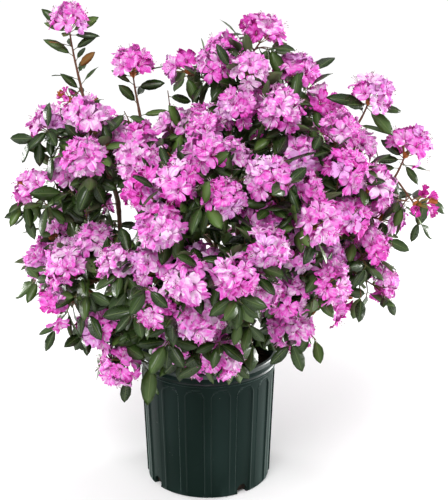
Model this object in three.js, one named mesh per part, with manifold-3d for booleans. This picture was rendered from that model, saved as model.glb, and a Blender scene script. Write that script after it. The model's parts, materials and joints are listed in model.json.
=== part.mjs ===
// Azalea shrub in full bloom, growing in a fluted nursery pot.
// Millimetres, +Z up. The origin is the centre of the pot's underside. The front is -Y and the right is +X.
// A short trunk stands on the soil and forks into tapering boughs. Each bough ends in one mass of twigs,
// with a ball of flowers (a truss) at the tip of each twig and leaves in a spiral below it.

import * as THREE from "three";
import { mergeVertices } from "three/addons/utils/BufferGeometryUtils.js";
import Module from "manifold-3d";

// Clearance left between neighbouring solids.
const GAP = 0.3;

const POT = {
  height: 228,
  rimRadius: 115,
  rimBand: 19,
  rimStep: 3.4,
  rimWall: 3.5,
  footRadius: 103.5,
  heel: 4,
  wall: 2.2,
  floor: 3,
  flutes: 16,
  ribShare: 0.4,
  fluteDepth: 1.5,
  fluteTop: 190,
  fluteArch: 14,
  drainHoles: 4,
  drainWidth: 19,
  drainHeight: 17,
  drainDepth: 14,
};
const SOIL_TOP = 198;

const TRUNK = {
  height: 74,
  footRadius: 22,
  neckRadius: 15,
  topRadius: 11,
  flareHeight: 16,
  lean: 9,
  sides: 10,
  steps: 6,
};
const BOUGH = { trunkRadius: 5.6, forkRadius: 4.2, tipRadius: 2.9, startRise: 1.35, pull: 0.36 };
const MAIN_BOUGH = { sides: 4, steps: 4 };
const SIDE_BOUGH = { sides: 4, steps: 3 };

// The point that the crown radiates from.
const HEART = new THREE.Vector3(12, -5, 360);

// A truss is a ball of flowers, wider than it is tall.
const TRUSS = { radius: 36.5, vary: 0.1, flatness: 0.8, lobe: 0.16, spacing: 70, lift: 0.4, seat: 0.5 };
const LEADER = {
  baseRadius: 3.6,
  radius: 1.9,
  sides: 4,
  steps: 2,
  pull: 0.42,
  firstFork: 0.48,
  lastFork: 0.14,
};
const TWIG = { baseRadius: 1.8, radius: 1.8, sides: 3, steps: 1 };
const LEAF = { length: 60, vary: 0.12, width: 0.4, thickness: 1.8, sink: 0.3, droop: 0.1, sway: 8 };

// Leaves stand in a spiral on the last stretch of a twig. The solids carry the top ones of each spiral.
const GOLDEN_TURN = THREE.MathUtils.degToRad(137.508);
const COLLAR = { first: 11, pitch: 2.2, leaves: 12, kept: 3, startAngle: 66, endAngle: 100 };
const SPIRE = { first: 11, pitch: 8, leaves: 17, kept: 8, startAngle: 60, endAngle: 78 };
const SHOOT = { first: 1, pitch: 3, leaves: 7, kept: 3, startAngle: 30, endAngle: 85 };
const SHOOTS = { count: 1, length: 0.66, spread: 1.25, rise: 0.1 };

// How near a leaf or twig may come to another mass, to a limb and to the pot.
const LEAF_SPACE = 6;
const TWIG_SPACE = 4;
const LIMB_SPACE = 3;
const POT_SPACE = { aside: 4, over: 4, lowest: 40 };

// A leaf shows when it reaches past this share of the radius of its mass's own trusses.
const LEAF_SHOWS = 0.92;

// How far apart trusses settle, as a share of their two radii, and how far from limbs and rim.
const CROWDING = { within: 0.94, between: 1.06, limb: 3.5, rim: 8, rounds: 30 };

// The masses of the crown. "from" is the limb that the mass's bough forks off, and "at" is how far along it.
// "bloom" is the middle of its flowers: azimuth in degrees (0 right, 270 front), reach from the pot's axis
// and height. "turn" turns its trusses round their stem. A spire is a leafy shoot with a single truss.
const MASSES = {
  left: { from: "trunk", at: 0.45, bloom: [189, 266, 549], trusses: 2, turn: 304, spread: 70 },
  left_upper: { from: "left", at: 0.62, bloom: [196, 212, 608], trusses: 4, turn: 93, spread: 95 },
  left_spire: { from: "left_upper", at: 0.55, bloom: [163, 232, 763], trusses: 1, spread: 150, lift: 2 },
  left_low: { from: "left", at: 0.42, bloom: [203, 252, 402], trusses: 5, turn: 24, spread: 90 },
  left_skirt: { from: "left", at: 0.26, bloom: [208, 208, 288], trusses: 3, turn: 45, spread: 100 },
  shoulder: { from: "trunk", at: 0.8, bloom: [217, 115, 602], trusses: 3, turn: 234, spread: 95 },
  shoulder_spire: { from: "shoulder", at: 0.62, bloom: [147, 146, 689], trusses: 1, spread: 92, lift: 1.6 },
  front: { from: "trunk", at: 0.55, bloom: [279, 272, 482], trusses: 5, turn: 275 },
  front_left: { from: "front", at: 0.45, bloom: [257, 251, 453], trusses: 6, turn: 118 },
  front_low: { from: "front", at: 0.27, bloom: [260, 166, 319], trusses: 5, turn: 220, spread: 85 },
  front_upper: { from: "trunk", at: 0.86, bloom: [261, 215, 588], trusses: 7, turn: 284, spread: 87 },
  top: { from: "trunk", at: 1, bloom: [4, 40, 728], trusses: 5, turn: 203, spread: 82 },
  top_right: { from: "top", at: 0.5, bloom: [347, 136, 684], trusses: 5, turn: 165, spread: 74 },
  front_right: { from: "trunk", at: 0.7, bloom: [302, 233, 558], trusses: 6, turn: 10 },
  front_far: { from: "front_right", at: 0.42, bloom: [309, 256, 461], trusses: 4, turn: 148, spread: 90 },
  right_skirt: { from: "front_right", at: 0.28, bloom: [324, 231, 388], trusses: 5, turn: 292 },
  right: { from: "trunk", at: 0.5, bloom: [0, 254, 498], trusses: 4, turn: 111, spread: 82 },
  right_upper: { from: "right", at: 0.5, bloom: [335, 224, 604], trusses: 5, turn: 79 },
  right_spire: { from: "right_upper", at: 0.5, bloom: [346, 251, 668], trusses: 1, spread: 92, lift: 0.8 },
  right_far: { from: "right", at: 0.6, bloom: [355, 336, 558], trusses: 2, turn: 92, spread: 82, cap: 0.5 },
  right_low: { from: "right", at: 0.4, bloom: [345, 273, 408], trusses: 4, turn: 148, spread: 87 },
  back_right: { from: "trunk", at: 0.75, bloom: [39, 240, 583], trusses: 5, turn: 231, spread: 77 },
  back_right_low: { from: "back_right", at: 0.42, bloom: [17, 278, 419], trusses: 4, turn: 2, spread: 78 },
  back: { from: "trunk", at: 0.9, bloom: [85, 204, 574], trusses: 5, turn: 146, spread: 82 },
  back_low: { from: "back", at: 0.38, bloom: [101, 274, 441], trusses: 5, turn: 74, spread: 100 },
  back_skirt: { from: "back", at: 0.22, bloom: [94, 229, 315], trusses: 4, turn: 239, spread: 100 },
  back_left: { from: "trunk", at: 0.62, bloom: [149, 233, 557], trusses: 5, turn: 155, spread: 82 },
  back_left_low: { from: "back_left", at: 0.4, bloom: [161, 274, 409], trusses: 5, turn: 278, spread: 100 },
};
const SPREAD = 84;
const LIFT = 0.25;

const COLOURS = {
  pot: { color: 0x22302c, roughness: 0.42 },
  soil: { color: 0x3a2a20, roughness: 0.95 },
  bark: { color: 0x6b4f3c, roughness: 0.85 },
  mass: { color: 0xd779c6, roughness: 0.6 },
};

const UP = new THREE.Vector3(0, 0, 1);
const wasm = await Module();
wasm.setup();

/** A repeatable stream of numbers from 0 to 1. */
function seeded(seed) {
  let state = seed >>> 0;
  return () => {
    state = (Math.imul(state, 1664525) + 1013904223) >>> 0;
    return state / 4294967296;
  };
}

/** A number within share of 1, either side. */
function varied(random, share) {
  return 1 + share * (2 * random() - 1);
}

/** Two unit vectors square to a direction and to each other. */
function sides(direction) {
  const helper = Math.abs(direction.z) < 0.9 ? UP : new THREE.Vector3(1, 0, 0);
  const across = new THREE.Vector3().crossVectors(helper, direction).normalize();
  return [across, new THREE.Vector3().crossVectors(direction, across)];
}

/** The direction at an angle from an axis, turned round it. */
function aside(axis, angle, turn) {
  const [u, v] = sides(axis);
  return axis
    .clone()
    .multiplyScalar(Math.cos(angle))
    .addScaledVector(u, Math.sin(angle) * Math.cos(turn))
    .addScaledVector(v, Math.sin(angle) * Math.sin(turn));
}

/** A point given by its azimuth in degrees, its reach and its height. */
function placed([azimuth, reach, height]) {
  const turn = THREE.MathUtils.degToRad(azimuth);
  return new THREE.Vector3(reach * Math.cos(turn), reach * Math.sin(turn), height);
}

// The plan of the plant: the lines of its limbs and twigs, and the places of its trusses and leaves.

/** The trunk's line, which leans a little as it rises from the soil. */
function trunkCurve() {
  const foot = new THREE.Vector3(0, 0, SOIL_TOP + GAP);
  const head = new THREE.Vector3(TRUNK.lean, -TRUNK.lean / 2, SOIL_TOP + TRUNK.height);
  return new THREE.QuadraticBezierCurve3(foot, new THREE.Vector3(0, 0, SOIL_TOP + TRUNK.height / 2), head);
}

/** The trunk's radius at a share of its height, with a flare at the root. */
function trunkRadius(share) {
  const flare = Math.max(0, 1 - (share * TRUNK.height) / TRUNK.flareHeight);
  const shaft = THREE.MathUtils.lerp(TRUNK.neckRadius, TRUNK.topRadius, share);
  return shaft + (TRUNK.footRadius - TRUNK.neckRadius) * flare * flare;
}

/** A bough's plan: from its parent to its tip, which points the way that the mass's stem goes on. */
function planBough(name, row, parent) {
  const bloom = placed(row.bloom);
  const outward = bloom.clone().sub(HEART).normalize().addScaledVector(UP, row.lift ?? LIFT).normalize();
  const spread = row.spread ?? SPREAD;
  const tip = bloom.clone().addScaledVector(outward, -spread);
  const start = parent.curve.getPoint(row.at);
  const reach = tip.distanceTo(start);
  const fromTrunk = parent.name === "trunk";
  const level = tip.clone().sub(start).setZ(0).normalize();
  const heading = level.addScaledVector(UP, BOUGH.startRise).normalize();
  const leaving = fromTrunk ? heading : parent.curve.getTangent(row.at);
  const curve = new THREE.CubicBezierCurve3(
    start,
    start.clone().addScaledVector(leaving, BOUGH.pull * reach),
    tip.clone().addScaledVector(outward, -BOUGH.pull * reach),
    tip,
  );
  const baseRadius = fromTrunk ? BOUGH.trunkRadius : BOUGH.forkRadius;
  const radius = (share) => THREE.MathUtils.lerp(baseRadius, BOUGH.tipRadius, share);
  const make = fromTrunk ? MAIN_BOUGH : SIDE_BOUGH;
  return { ...row, ...make, name, curve, radius, tip, outward, spread };
}

/** The trusses of one mass, spread evenly on a cap round its bough's tip. */
function planTrusses(bough, random) {
  const count = bough.trusses;
  const wanted = (0.9 * count * TRUSS.spacing ** 2) / (2 * Math.PI * bough.spread ** 2);
  const cap = count === 1 ? 0 : bough.cap ?? Math.min(1.25, wanted);
  const phase = THREE.MathUtils.degToRad(bough.turn ?? 0);
  return Array.from({ length: count }, (_, k) => {
    const angle = Math.acos(1 - (cap * (k + 0.5)) / count);
    const way = aside(bough.outward, count === 1 ? 0 : angle, phase + k * GOLDEN_TURN);
    const reach = bough.spread * (count === 1 ? 1 : varied(random, 0.12));
    const centre = bough.tip.clone().addScaledVector(way, reach);
    return { centre, radius: TRUSS.radius * varied(random, TRUSS.vary), turn: 2 * Math.PI * random() };
  });
}

/** Points along a curve. */
function along(curve, steps) {
  return Array.from({ length: steps + 1 }, (_, i) => curve.getPoint(i / steps));
}

/** The nearest place to a point on a run of straight pieces. */
function nearestOnRun(point, run) {
  const line = new THREE.Line3();
  const place = new THREE.Vector3();
  const nearest = new THREE.Vector3();
  let best = Infinity;
  for (let i = 1; i < run.length; i++) {
    line.set(run[i - 1], run[i]).closestPointToPoint(point, true, place);
    const distance = place.distanceToSquared(point);
    if (distance >= best) continue;
    best = distance;
    nearest.copy(place);
  }
  return nearest;
}

/** How far a point is from a run of straight pieces. */
function distanceToRun(point, run) {
  return nearestOnRun(point, run).distanceTo(point);
}

/** Moves trusses apart where they crowd each other, and away from the limbs and the pot. */
function relax(masses, limbs) {
  const all = masses.flatMap((mass) => mass.trusses.map((truss) => ({ mass, truss })));
  const runs = limbs.map((limb) => {
    const run = along(limb.curve, 8);
    const middle = run[0].clone().add(run[8]).multiplyScalar(0.5);
    const reach = Math.max(...run.map((point) => point.distanceTo(middle)));
    return { run, radius: limb.radius(0.3), middle, reach };
  });
  const away = new THREE.Vector3();
  for (let round = 0; round < CROWDING.rounds; round++) {
    for (let i = 0; i < all.length; i++) {
      const { centre, radius } = all[i].truss;
      for (let j = i + 1; j < all.length; j++) {
        const other = all[j].truss;
        const share = all[i].mass === all[j].mass ? CROWDING.within : CROWDING.between;
        const wanted = share * (radius + other.radius);
        const distance = away.copy(other.centre).sub(centre).length();
        if (distance >= wanted) continue;
        away.multiplyScalar((0.5 * (wanted - distance)) / Math.max(distance, 1));
        centre.sub(away);
        other.centre.add(away);
      }
      for (const limb of runs) {
        const wanted = radius + limb.radius + CROWDING.limb;
        if (limb.middle.distanceTo(centre) > limb.reach + wanted) continue;
        const distance = away.copy(centre).sub(nearestOnRun(centre, limb.run)).length();
        if (distance >= wanted) continue;
        centre.addScaledVector(away, (0.6 * (wanted - distance)) / Math.max(distance, 1));
      }
      const overRim = Math.hypot(centre.x, centre.y) < POT.rimRadius + radius;
      if (overRim) centre.z = Math.max(centre.z, POT.height + CROWDING.rim + TRUSS.flatness * radius);
    }
  }
}

/** The point and the direction at a share of a twig, on the straight pieces that it is drawn with. */
function onTwig({ curve, steps }, share) {
  const piece = Math.min(steps - 1, Math.floor(share * steps));
  const from = curve.getPoint(piece / steps);
  const axis = curve.getPoint((piece + 1) / steps).sub(from);
  return { base: from.addScaledVector(axis, share * steps - piece), axis: axis.normalize() };
}

/** Leaves in a spiral down a twig from its tip. */
function planLeaves(twig, spiral, random) {
  const { first, pitch, leaves, startAngle, endAngle } = spiral;
  const length = twig.curve.getLength();
  const phase = 2 * Math.PI * random();
  const made = [];
  for (let j = 0; j < leaves; j++) {
    const size = LEAF.length * varied(random, LEAF.vary);
    const angle = THREE.MathUtils.lerp(startAngle, endAngle, j / leaves) + LEAF.sway * (2 * random() - 1);
    const share = 1 - (first + j * pitch) / length;
    if (share < 0.12) continue;
    const { base, axis } = onTwig(twig, share);
    const way = aside(axis, THREE.MathUtils.degToRad(angle), phase + j * GOLDEN_TURN);
    const face = axis.clone().addScaledVector(way, -axis.dot(way)).normalize();
    way.addScaledVector(UP, -LEAF.droop).normalize();
    face.addScaledVector(way, -face.dot(way)).normalize();
    made.push({ base, way, face, length: size });
  }
  return { leaves: made, kept: spiral.kept };
}

/** The leader of a mass: from just off its bough's tip, round to the underside of its first truss. */
function planLeader({ tip, outward }, truss) {
  const foot = tip.clone().addScaledVector(outward, GAP);
  const top = truss.centre.clone().addScaledVector(truss.axis, -TRUSS.seat * truss.radius);
  const pull = LEADER.pull * top.distanceTo(foot);
  const curve = new THREE.CubicBezierCurve3(
    foot,
    foot.clone().addScaledVector(outward, pull),
    top.clone().addScaledVector(truss.axis, -pull),
    top,
  );
  return { curve, truss, steps: LEADER.steps };
}

/** The twigs and leaves of one mass. Twigs to its other trusses and leafy shoots fork off its leader. */
function planMass(mass, random) {
  const { tip, outward, spread } = mass.bough;
  for (const truss of mass.trusses) {
    const away = truss.centre.clone().sub(tip).normalize();
    truss.axis = away.addScaledVector(UP, TRUSS.lift).normalize();
  }
  mass.leader = planLeader(mass.bough, mass.trusses[0]);
  const rest = mass.trusses.slice(1);
  const shoots = rest.length ? SHOOTS.count : 0;
  const forks = rest.length + shoots;
  const starts = Array.from({ length: forks }, (_, k) => {
    const down = k / Math.max(1, forks - 1);
    return onTwig(mass.leader, THREE.MathUtils.lerp(LEADER.firstFork, LEADER.lastFork, down)).base;
  });
  mass.twigs = rest.map((truss, k) => {
    const end = truss.centre.clone().addScaledVector(truss.axis, -TRUSS.seat * truss.radius);
    return { curve: new THREE.LineCurve3(starts[k], end), truss, steps: TWIG.steps };
  });
  const spiral = rest.length ? COLLAR : SPIRE;
  for (const twig of [mass.leader, ...mass.twigs]) twig.spiral = planLeaves(twig, spiral, random);
  mass.shoots = Array.from({ length: shoots }, (_, k) => {
    const way = aside(outward, SHOOTS.spread * varied(random, 0.15), random() * 2 + k * Math.PI);
    const start = starts[rest.length + k];
    const end = start.clone().addScaledVector(way, SHOOTS.length * spread);
    end.addScaledVector(UP, SHOOTS.rise * spread);
    return { curve: new THREE.LineCurve3(start, end), steps: TWIG.steps };
  });
  for (const shoot of mass.shoots) shoot.spiral = planLeaves(shoot, SHOOT, random);
}

/** The whole plan: the trunk, the boughs in order and the masses at their tips. */
function planPlant() {
  const { steps, sides: sideCount } = TRUNK;
  const trunk = { name: "trunk", curve: trunkCurve(), radius: trunkRadius, steps, sides: sideCount };
  const limbs = new Map([["trunk", trunk]]);
  for (const [name, row] of Object.entries(MASSES)) {
    limbs.set(name, planBough(name, row, limbs.get(row.from)));
  }
  const boughs = [...limbs.values()].slice(1);
  const masses = boughs.map((bough, index) => {
    const random = seeded(7919 * (index + 1));
    return { name: bough.name, bough, random, trusses: planTrusses(bough, random) };
  });
  relax(masses, [...limbs.values()]);
  masses.forEach((mass) => planMass(mass, mass.random));
  return { trunk, boughs, masses };
}

// What keeps each mass in its own space.

/** How far a point is from a mass: its trusses, twigs and stem. */
function distanceToMass(point, mass) {
  const balls = mass.trusses.map((truss) => truss.centre.distanceTo(point) - truss.radius);
  const runs = mass.runs.map((run) => distanceToRun(point, run) - TWIG.baseRadius);
  return Math.min(...balls, ...runs);
}

/** Whether a point is clear of the pot, over its rim or outside it. */
function clearOfPot(point) {
  const over = point.z > POT.height + POT_SPACE.over;
  const outside = Math.hypot(point.x, point.y) > POT.rimRadius + POT_SPACE.aside;
  return over || (outside && point.z > POT_SPACE.lowest);
}

/** The points that stand for a leaf when it is tested: its midline and its two shoulders. */
function leafPoints({ base, way, face, length }) {
  const across = new THREE.Vector3().crossVectors(face, way);
  const midline = (share) => base.clone().addScaledVector(way, share * length);
  const shoulder = (side) => midline(0.5).addScaledVector(across, 0.5 * side * LEAF.width * length);
  return [...[0.1, 0.3, 0.5, 0.75, 1].map(midline), shoulder(1), shoulder(-1)];
}

/** Keeps only the trusses, twigs and leaves that stay in their mass's own space. */
function clearSpaces({ trunk, boughs, masses }) {
  const limbs = [trunk, ...boughs].map((limb) => ({ radius: limb.radius(0.3), run: along(limb.curve, 10) }));
  const toLimbs = (point) => Math.min(...limbs.map(({ radius, run }) => distanceToRun(point, run) - radius));
  const toOthers = (mass, point) => {
    const others = masses.filter((other) => other !== mass);
    return Math.min(...others.map((other) => distanceToMass(point, other)));
  };
  const setRuns = (mass) => {
    mass.runs = [mass.leader, ...mass.twigs, ...mass.shoots].map((twig) => along(twig.curve, 4));
  };
  const ballIsClear = ({ centre, radius }) => toLimbs(centre) > radius + LIMB_SPACE / 2;
  const pointIsClear = (mass, point) =>
    toOthers(mass, point) > TWIG_SPACE && toLimbs(point) > TWIG_SPACE && clearOfPot(point);
  const twigIsClear = (mass, { curve }) =>
    along(curve, 6)
      .slice(1)
      .every((point) => pointIsClear(mass, point));
  masses.forEach(setRuns);
  for (const mass of masses) {
    mass.twigs = mass.twigs.filter((twig) => ballIsClear(twig.truss) && twigIsClear(mass, twig));
    mass.trusses = [mass.leader, ...mass.twigs].map((twig) => twig.truss);
    mass.shoots = mass.shoots.filter((shoot) => twigIsClear(mass, shoot));
    setRuns(mass);
  }
  const isOwn = (mass, point) => toOthers(mass, point) - distanceToMass(point, mass) > LEAF_SPACE;
  const leafIsClear = (mass, leaf) =>
    leafPoints(leaf).every(
      (point) => clearOfPot(point) && toLimbs(point) > LIMB_SPACE && isOwn(mass, point),
    );
  const leafShows = (mass, { base, way, length }) =>
    [0.45, 0.7, 1].every((share) => {
      const point = base.clone().addScaledVector(way, share * length);
      return mass.trusses.every((truss) => truss.centre.distanceTo(point) > LEAF_SHOWS * truss.radius);
    });
  for (const mass of masses) {
    mass.leaves = [mass.leader, ...mass.twigs, ...mass.shoots].flatMap(({ spiral }) =>
      spiral.leaves.filter((leaf) => leafShows(mass, leaf) && leafIsClear(mass, leaf)).slice(0, spiral.kept),
    );
  }
}

// The solids.

/** A geometry as a closed solid. */
function solid(geometry) {
  const bare = geometry.index ? geometry.toNonIndexed() : geometry.clone();
  bare.deleteAttribute("normal");
  bare.deleteAttribute("uv");
  const merged = mergeVertices(bare, 1e-4);
  const mesh = new wasm.Mesh({
    numProp: 3,
    vertProperties: new Float32Array(merged.attributes.position.array),
    triVerts: new Uint32Array(merged.index.array),
  });
  return new wasm.Manifold(mesh);
}

/** The one largest body of a solid, with loose scraps dropped and sealed hollows filled. */
function wholeBody(shape) {
  const bodies = shape.decompose().filter((body) => body.volume() > 0);
  return bodies.reduce((most, body) => (body.volume() > most.volume() ? body : most));
}

/** A solid's triangles as a geometry. */
function geometryOf(shape) {
  const { numProp, numVert, vertProperties, triVerts } = shape.getMesh();
  const positions = new Float32Array(numVert * 3);
  for (let i = 0; i < numVert; i++) {
    positions.set(vertProperties.subarray(i * numProp, i * numProp + 3), i * 3);
  }
  const geometry = new THREE.BufferGeometry();
  geometry.setAttribute("position", new THREE.BufferAttribute(positions, 3));
  geometry.setIndex(new THREE.BufferAttribute(new Uint32Array(triVerts), 1));
  geometry.computeVertexNormals();
  return geometry;
}

/** A limb that follows a curve: a cylinder whose rings are laid along it at their own radius. */
function limbGeometry(curve, radiusAt, steps, sideCount) {
  const geometry = new THREE.CylinderGeometry(1, 1, 1, sideCount, steps);
  const frames = curve.computeFrenetFrames(steps);
  const position = geometry.attributes.position;
  for (let i = 0; i < position.count; i++) {
    const share = position.getY(i) + 0.5;
    const ring = Math.round(share * steps);
    const radius = radiusAt(share);
    const point = curve
      .getPoint(share)
      .addScaledVector(frames.binormals[ring], position.getX(i) * radius)
      .addScaledVector(frames.normals[ring], position.getZ(i) * radius);
    position.setXYZ(i, point.x, point.y, point.z);
  }
  return geometry;
}

/** A limb's solid, made larger all round by a margin. */
function limbSolid(limb, margin = 0) {
  return solid(limbGeometry(limb.curve, (share) => limb.radius(share) + margin, limb.steps, limb.sides));
}

/** The matrix that stands a shape's X, Y and Z along a direction, across it and along its face. */
function stood(way, face, origin) {
  const across = new THREE.Vector3().crossVectors(face, way);
  return new THREE.Matrix4().makeBasis(way, across, face).setPosition(origin);
}

/** One leaf: a thin blade with its midrib along its upper edge and its two shoulders on the lower one. */
function leafSolid({ base, way, face, length }) {
  const geometry = new THREE.TetrahedronGeometry(Math.sqrt(3) / 2);
  geometry.rotateZ(Math.PI / 4);
  const across = Math.SQRT2;
  geometry.scale((length + LEAF.sink) / across, (LEAF.width * length) / across, LEAF.thickness);
  geometry.translate(0.5 * (length - LEAF.sink), 0, 0);
  return solid(geometry.applyMatrix4(stood(way, face, base)));
}

/** One truss: two rings of lobes between a low and a high pole. */
function trussSolid({ centre, axis, radius, turn }) {
  const geometry = new THREE.SphereGeometry(1, 6, 3);
  const position = geometry.attributes.position;
  const point = new THREE.Vector3();
  for (let i = 0; i < position.count; i++) {
    point.fromBufferAttribute(position, i);
    const upper = point.y > 0;
    const angle = Math.atan2(point.z, point.x) + (upper ? Math.PI / 6 : 0);
    const out = Math.hypot(point.x, point.z) * (1 - TRUSS.lobe * (0.5 + 0.5 * Math.cos(3 * angle + turn)));
    const ring = out * radius * (upper ? 1.04 : 1.12);
    position.setXYZ(i, ring * Math.cos(angle), -ring * Math.sin(angle), point.y * radius * TRUSS.flatness);
  }
  const [across] = sides(axis);
  geometry.rotateZ(turn);
  return solid(geometry.applyMatrix4(stood(across, axis, centre)));
}

/** A twig or a leader along its curve, thinner at its tip. */
function twigSolid({ curve }, { baseRadius, radius, steps, sides } = TWIG) {
  const radiusAt = (share) => THREE.MathUtils.lerp(baseRadius, radius, share);
  return solid(limbGeometry(curve, radiusAt, steps, sides));
}

/** One mass of foliage and flowers, fused into one body. */
function massSolid(mass) {
  const pieces = [
    twigSolid(mass.leader, LEADER),
    ...[...mass.twigs, ...mass.shoots].map((twig) => twigSolid(twig)),
    ...mass.trusses.map(trussSolid),
    ...mass.leaves.map(leafSolid),
  ];
  return wholeBody(wasm.Manifold.union(pieces));
}

/** The pot's body radius outside at a height, without its flutes. */
function bodyRadius(z) {
  const share = THREE.MathUtils.clamp((z - POT.heel) / (POT.height - POT.rimBand - POT.heel), 0, 1);
  return THREE.MathUtils.lerp(POT.footRadius, POT.rimRadius - POT.rimStep, share);
}

/** A lathe turned about Z from a list of radii and heights. */
function turned(profile, columns) {
  const points = profile.map(([radius, z]) => new THREE.Vector2(radius, z));
  return new THREE.LatheGeometry(points, columns).rotateX(Math.PI / 2);
}

/** Presses the flutes into the pot's side: a rib and an edge, a middle that rises to an arch, and an edge. */
function pressFlutes(geometry) {
  const position = geometry.attributes.position;
  const pitch = (2 * Math.PI) / POT.flutes;
  const shares = [0, POT.ribShare / 2, 0.5, 1 - POT.ribShare / 2];
  const tops = [0, POT.fluteTop - POT.fluteArch, POT.fluteTop, POT.fluteTop - POT.fluteArch];
  for (let i = 0; i < position.count; i++) {
    const [x, y, z] = [position.getX(i), position.getY(i), position.getZ(i)];
    const radius = Math.hypot(x, y);
    const column = Math.round((Math.atan2(y, x) * 4) / pitch);
    const kind = ((column % 4) + 4) % 4;
    const angle = (Math.floor(column / 4) + shares[kind]) * pitch;
    const onSide = z >= POT.heel && Math.abs(radius - bodyRadius(z)) < 0.01;
    const pressed = onSide && z < tops[kind] + 0.01 ? radius - POT.fluteDepth : radius;
    position.setXYZ(i, pressed * Math.cos(angle), pressed * Math.sin(angle), z);
  }
}

/** The pot: a turned shell with a stepped rim, shallow flutes down its side and drain holes at its heel. */
function potSolid() {
  const under = POT.height - POT.rimBand;
  const { heel, fluteTop, fluteArch } = POT;
  const side = [heel, fluteTop - fluteArch, fluteTop, fluteTop + fluteArch / 2, under];
  const outer = turned(
    [
      [0, 0],
      [POT.footRadius - POT.heel, 0],
      ...side.map((z) => [bodyRadius(z), z]),
      [POT.rimRadius, under],
      [POT.rimRadius, POT.height],
      [0, POT.height],
    ],
    POT.flutes * 4,
  );
  pressFlutes(outer);
  const skin = POT.wall + POT.fluteDepth;
  const inner = turned(
    [
      [0, POT.floor],
      [POT.footRadius - POT.heel - skin, POT.floor],
      [bodyRadius(under) - skin, under - POT.wall],
      [POT.rimRadius - POT.rimWall, under + POT.wall],
      [POT.rimRadius - POT.rimWall, POT.height + 1],
      [0, POT.height + 1],
    ],
    POT.flutes * 1.5,
  );
  return wholeBody(solid(outer).subtract(wasm.Manifold.union([solid(inner), ...drainHoles()])));
}

/** The arched drain holes, cut through the heel at the middle of every fourth flute. */
function drainHoles() {
  const half = POT.drainWidth / 2;
  const arch = new THREE.Shape();
  arch.moveTo(-half, -1).lineTo(half, -1).lineTo(half, POT.drainHeight - half);
  arch.absarc(0, POT.drainHeight - half, half, 0, Math.PI, false);
  const extent = { depth: POT.drainDepth + 4, bevelEnabled: false, curveSegments: 4 };
  const bar = new THREE.ExtrudeGeometry(arch, extent);
  bar.rotateX(Math.PI / 2);
  bar.translate(0, -POT.footRadius + POT.drainDepth, 0);
  return Array.from({ length: POT.drainHoles }, (_, k) => {
    const turn = (1.5 / POT.flutes + k / POT.drainHoles) * 2 * Math.PI;
    return solid(bar.clone().rotateZ(turn));
  });
}

/** The soil, which fills the pot to a little below its rim. */
function soilSolid() {
  const skin = POT.wall + POT.fluteDepth + 2 * GAP;
  const low = POT.floor + GAP;
  const under = POT.height - POT.rimBand;
  const bottom = POT.footRadius - POT.heel - skin;
  const slope = (bodyRadius(under) - POT.footRadius + POT.heel) / (under - POT.wall - POT.floor);
  const top = bottom + slope * (SOIL_TOP - POT.floor);
  const profile = [
    [0, low],
    [bottom, low],
    [top, SOIL_TOP],
    [0, SOIL_TOP],
  ];
  return solid(turned(profile, POT.flutes * 1.5));
}

/** Adds one named mesh to the plant. */
function add(group, name, shape, { color, roughness }) {
  const material = new THREE.MeshStandardMaterial({ color, roughness, metalness: 0 });
  const mesh = new THREE.Mesh(geometryOf(shape), material);
  mesh.name = name;
  group.add(mesh);
}

/** The whole plant in its pot. */
function azalea() {
  const plan = planPlant();
  clearSpaces(plan);
  const group = new THREE.Group();
  add(group, "pot", potSolid(), COLOURS.pot);
  add(group, "soil", soilSolid(), COLOURS.soil);
  add(group, "trunk", limbSolid(plan.trunk), COLOURS.bark);
  const earlier = [limbSolid(plan.trunk, GAP)];
  for (const bough of plan.boughs) {
    const cut = limbSolid(bough).subtract(wasm.Manifold.union(earlier));
    add(group, `bough_${bough.name}`, wholeBody(cut), COLOURS.bark);
    earlier.push(limbSolid(bough, GAP));
  }
  for (const mass of plan.masses) add(group, `mass_${mass.name}`, massSolid(mass), COLOURS.mass);
  return group;
}

const plant = azalea();
export default plant;
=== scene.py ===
"""The looks of the azalea in its nursery pot.

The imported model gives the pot, the soil, the trunk, the boughs and the masses of the crown. This script grows
the same plant again by the same rule, carries it on to single florets, stamens and leaves, and dresses every
surface. The plan is worked out in millimetres and each mesh is written in metres, in the frame of the model.
"""

from __future__ import annotations

import json
import logging
import math
from collections.abc import Callable, Iterable
from dataclasses import dataclass, field, fields
from enum import Enum, IntEnum

import bpy
import numpy as np
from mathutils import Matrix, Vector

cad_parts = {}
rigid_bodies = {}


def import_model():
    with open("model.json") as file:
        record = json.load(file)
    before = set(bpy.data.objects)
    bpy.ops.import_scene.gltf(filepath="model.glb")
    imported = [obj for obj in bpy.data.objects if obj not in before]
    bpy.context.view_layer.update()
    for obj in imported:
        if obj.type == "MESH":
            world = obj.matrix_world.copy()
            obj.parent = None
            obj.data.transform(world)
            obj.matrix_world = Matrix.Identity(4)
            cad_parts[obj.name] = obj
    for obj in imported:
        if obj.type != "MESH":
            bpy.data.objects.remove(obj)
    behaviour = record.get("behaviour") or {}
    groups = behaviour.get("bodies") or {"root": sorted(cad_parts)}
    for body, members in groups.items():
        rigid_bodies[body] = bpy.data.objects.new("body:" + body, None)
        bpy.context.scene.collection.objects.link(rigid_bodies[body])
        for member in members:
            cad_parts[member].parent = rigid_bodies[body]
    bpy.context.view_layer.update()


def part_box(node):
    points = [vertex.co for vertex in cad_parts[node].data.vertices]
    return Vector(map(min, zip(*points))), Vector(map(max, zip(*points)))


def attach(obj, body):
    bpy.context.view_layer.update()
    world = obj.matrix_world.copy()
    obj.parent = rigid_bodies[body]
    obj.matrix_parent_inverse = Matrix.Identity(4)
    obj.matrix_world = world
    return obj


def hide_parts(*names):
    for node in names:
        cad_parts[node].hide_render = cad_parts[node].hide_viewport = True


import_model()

LOG = logging.getLogger("azalea")
MM = 0.001
GAP = 0.3
GOLDEN_TURN = math.radians(137.508)
FULL_TURN = 2 * math.pi
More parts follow.
